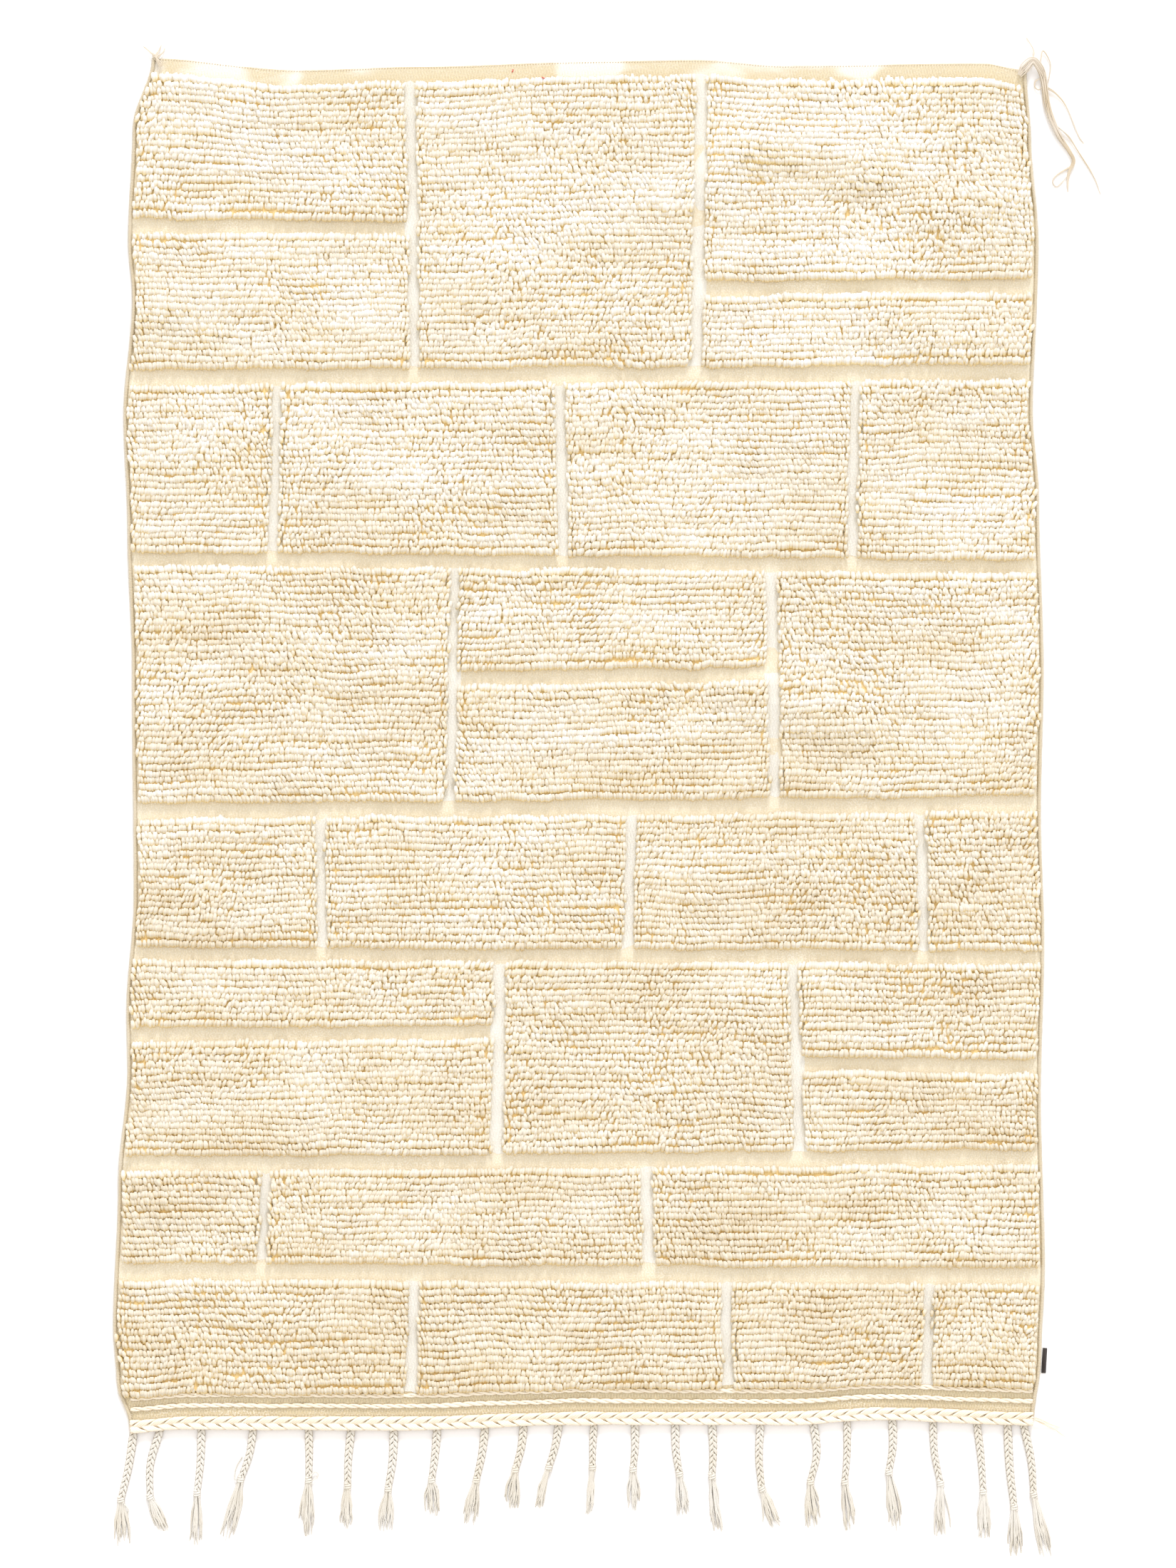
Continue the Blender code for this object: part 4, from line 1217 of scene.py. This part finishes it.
def make_label(settings):
    """A small bare tab of dark woven tape that shows beside the selvedge."""
    ends = LABEL_MIDDLE_Y - LABEL_LENGTH / 2, LABEL_MIDDLE_Y + LABEL_LENGTH / 2
    low_x, high_x = (float(through(RIGHT_EDGE, y)) for y in ends)
    turn = Matrix.Rotation(math.atan2(low_x - high_x, LABEL_LENGTH), 4, "Z")
    middle = ((low_x + high_x) / 2 + LABEL_CLEARANCE + LABEL_SHOWING / 2, LABEL_MIDDLE_Y, LABEL_THICKNESS / 2)
    size = (LABEL_SHOWING * MM, LABEL_LENGTH * MM, LABEL_THICKNESS * MM)
    shape = bmesh.new()
    bmesh.ops.create_cube(shape, size=1.0, matrix=turn @ Matrix.Diagonal((*size, 1)))
    bmesh.ops.bevel(shape, geom=shape.edges[:], offset=LABEL_ROUNDING * MM, segments=2, affect="EDGES")
    bmesh.ops.translate(shape, verts=shape.verts, vec=[c * MM for c in middle])
    mesh = outward_mesh("edge_tab", shape)
    mesh.shade_smooth()
    surface, tree, sockets = new_surface("tab_tape", 0.7, 0.3)
    weave = effect(plain_weave(), object_place(tree), Pick_Pitch=0.0006, End_Pitch=0.0006, Wander=0.0)
    colour = mixed(tree, weave["Thread"], settings.tab, [c * 2.2 for c in settings.tab])
    paint(sockets, colour, weave["Height"], TAPE_BUMP)
    put(mesh_object("edge_tab", mesh, surface), "label_cloth", "edge_label")


def make_stage(settings):
    """Plain pale floor, a soft key light from the head side, even fill and the camera straight above."""
    scene = bpy.context.scene
    shape = bmesh.new()
    bmesh.ops.create_grid(shape, x_segments=1, y_segments=1, size=FLOOR_REACH)
    mesh = bpy.data.meshes.new("studio_floor")
    shape.to_mesh(mesh)
    shape.free()
    surface, _, sockets = new_surface("floor_paint", 0.9, 0.0)
    sockets["Base Color"].default_value = (*settings.floor, 1)
    floor = mesh_object("studio_floor", mesh, surface)
    floor.location.z = -FLOOR_DROP

    key = bpy.data.lights.new("key", "SUN")
    key.energy = settings.sun
    key.angle = KEY_SOFTNESS
    key.color = KEY_COLOUR
    lamp = new_object("key", key)
    lamp.rotation_euler = (-(math.pi / 2 - settings.elevation), 0, KEY_TURN)

    world = bpy.data.worlds.new("studio")
    world.use_nodes = True
    sky = world.node_tree.nodes["Background"].inputs
    sky["Color"].default_value = FILL_COLOUR
    sky["Strength"].default_value = settings.fill
    scene.world = world
    scene.view_settings.view_transform = "Standard"

    lens = bpy.data.cameras.new("camera")
    lens.sensor_width = CAMERA_SENSOR
    lens.lens = CAMERA_SENSOR * CAMERA_PLACE[2] / CAMERA_SEES
    lens.clip_end = CAMERA_CLIP
    scene.camera = new_object("camera", lens)
    scene.camera.location = CAMERA_PLACE


# ---- add-on


class RUG_OT_ground(bpy.types.Operator):
    """Weave the ground cloth of the rug"""

    bl_idname = "rug.ground"
    bl_label = "Ground Cloth"
    bl_options = {"REGISTER", "UNDO"}

    def execute(self, context):
        make_ground(context.scene.rug_ground)
        make_joints(context.scene.rug_ground)
        return {"FINISHED"}


class RUG_OT_pile(bpy.types.Operator):
    """Knot the pile: its bed of roots, its tufts and the stray fibres in it"""

    bl_idname = "rug.pile"
    bl_label = "Pile"
    bl_options = {"REGISTER", "UNDO"}

    def execute(self, context):
        make_bed(context.scene.rug_pile)
        make_pile(context.scene.rug_pile)
        make_flecks()
        return {"FINISHED"}


class RUG_OT_selvedges(bpy.types.Operator):
    """Wrap both selvedges and stitch the head edge"""

    bl_idname = "rug.selvedges"
    bl_label = "Selvedges"
    bl_options = {"REGISTER", "UNDO"}

    def execute(self, context):
        make_selvedges(context.scene.rug_ground)
        return {"FINISHED"}


class RUG_OT_cords(bpy.types.Operator):
    """Lay the twined cords and the thick plait along the fringed edge"""

    bl_idname = "rug.cords"
    bl_label = "Edge Cords"
    bl_options = {"REGISTER", "UNDO"}

    def execute(self, context):
        make_cords(context.scene.rug_fringe)
        return {"FINISHED"}


class RUG_OT_fringe(bpy.types.Operator):
    """Plait the fringe, with its knots and brushes"""

    bl_idname = "rug.fringe"
    bl_label = "Fringe"
    bl_options = {"REGISTER", "UNDO"}

    def execute(self, context):
        make_fringe(context.scene.rug_fringe)
        return {"FINISHED"}


class RUG_OT_corners(bpy.types.Operator):
    """Lay the loose warp ends at the corners of the head"""

    bl_idname = "rug.corners"
    bl_label = "Corner Yarns"
    bl_options = {"REGISTER", "UNDO"}

    def execute(self, context):
        make_corners(context.scene.rug_fringe)
        return {"FINISHED"}


class RUG_OT_label(bpy.types.Operator):
    """Lay the bare tab beside the selvedge"""

    bl_idname = "rug.label"
    bl_label = "Edge Tab"
    bl_options = {"REGISTER", "UNDO"}

    def execute(self, context):
        make_label(context.scene.rug_ground)
        return {"FINISHED"}


class RUG_OT_stage(bpy.types.Operator):
    """Set the floor, the light and the camera"""

    bl_idname = "rug.stage"
    bl_label = "Stage"
    bl_options = {"REGISTER", "UNDO"}

    def execute(self, context):
        make_stage(context.scene.rug_stage)
        return {"FINISHED"}


class RUG_PT_panel(bpy.types.Panel):
    """Lists the rug's settings and its pieces"""

    bl_idname = "RUG_PT_panel"
    bl_label = "Knotted Wool Rug"
    bl_space_type = "VIEW_3D"
    bl_region_type = "UI"
    bl_category = "Rug"

    def draw(self, context):
        for key, settings_class in SETTINGS.items():
            box = self.layout.box()
            settings = getattr(context.scene, key)
            for name in settings_class.__annotations__:
                box.prop(settings, name)
        for operator in OPERATORS:
            self.layout.operator(operator.bl_idname)


SETTINGS = {
    "rug_ground": RugGroundSettings,
    "rug_pile": RugPileSettings,
    "rug_fringe": RugFringeSettings,
    "rug_stage": RugStageSettings,
}
OPERATORS = (
    RUG_OT_ground, RUG_OT_pile, RUG_OT_selvedges, RUG_OT_cords, RUG_OT_fringe, RUG_OT_corners, RUG_OT_label,
    RUG_OT_stage,
)
CLASSES = (*SETTINGS.values(), *OPERATORS, RUG_PT_panel)


def register():
    for made in CLASSES:
        bpy.utils.register_class(made)
    for key, settings_class in SETTINGS.items():
        setattr(bpy.types.Scene, key, PointerProperty(type=settings_class))


def unregister():
    for key in SETTINGS:
        delattr(bpy.types.Scene, key)
    for made in reversed(CLASSES):
        bpy.utils.unregister_class(made)


def main():
    register()
    for operator in OPERATORS:
        group, name = operator.bl_idname.split(".")
        getattr(getattr(bpy.ops, group), name)()


if __name__ == "__main__":
    main()
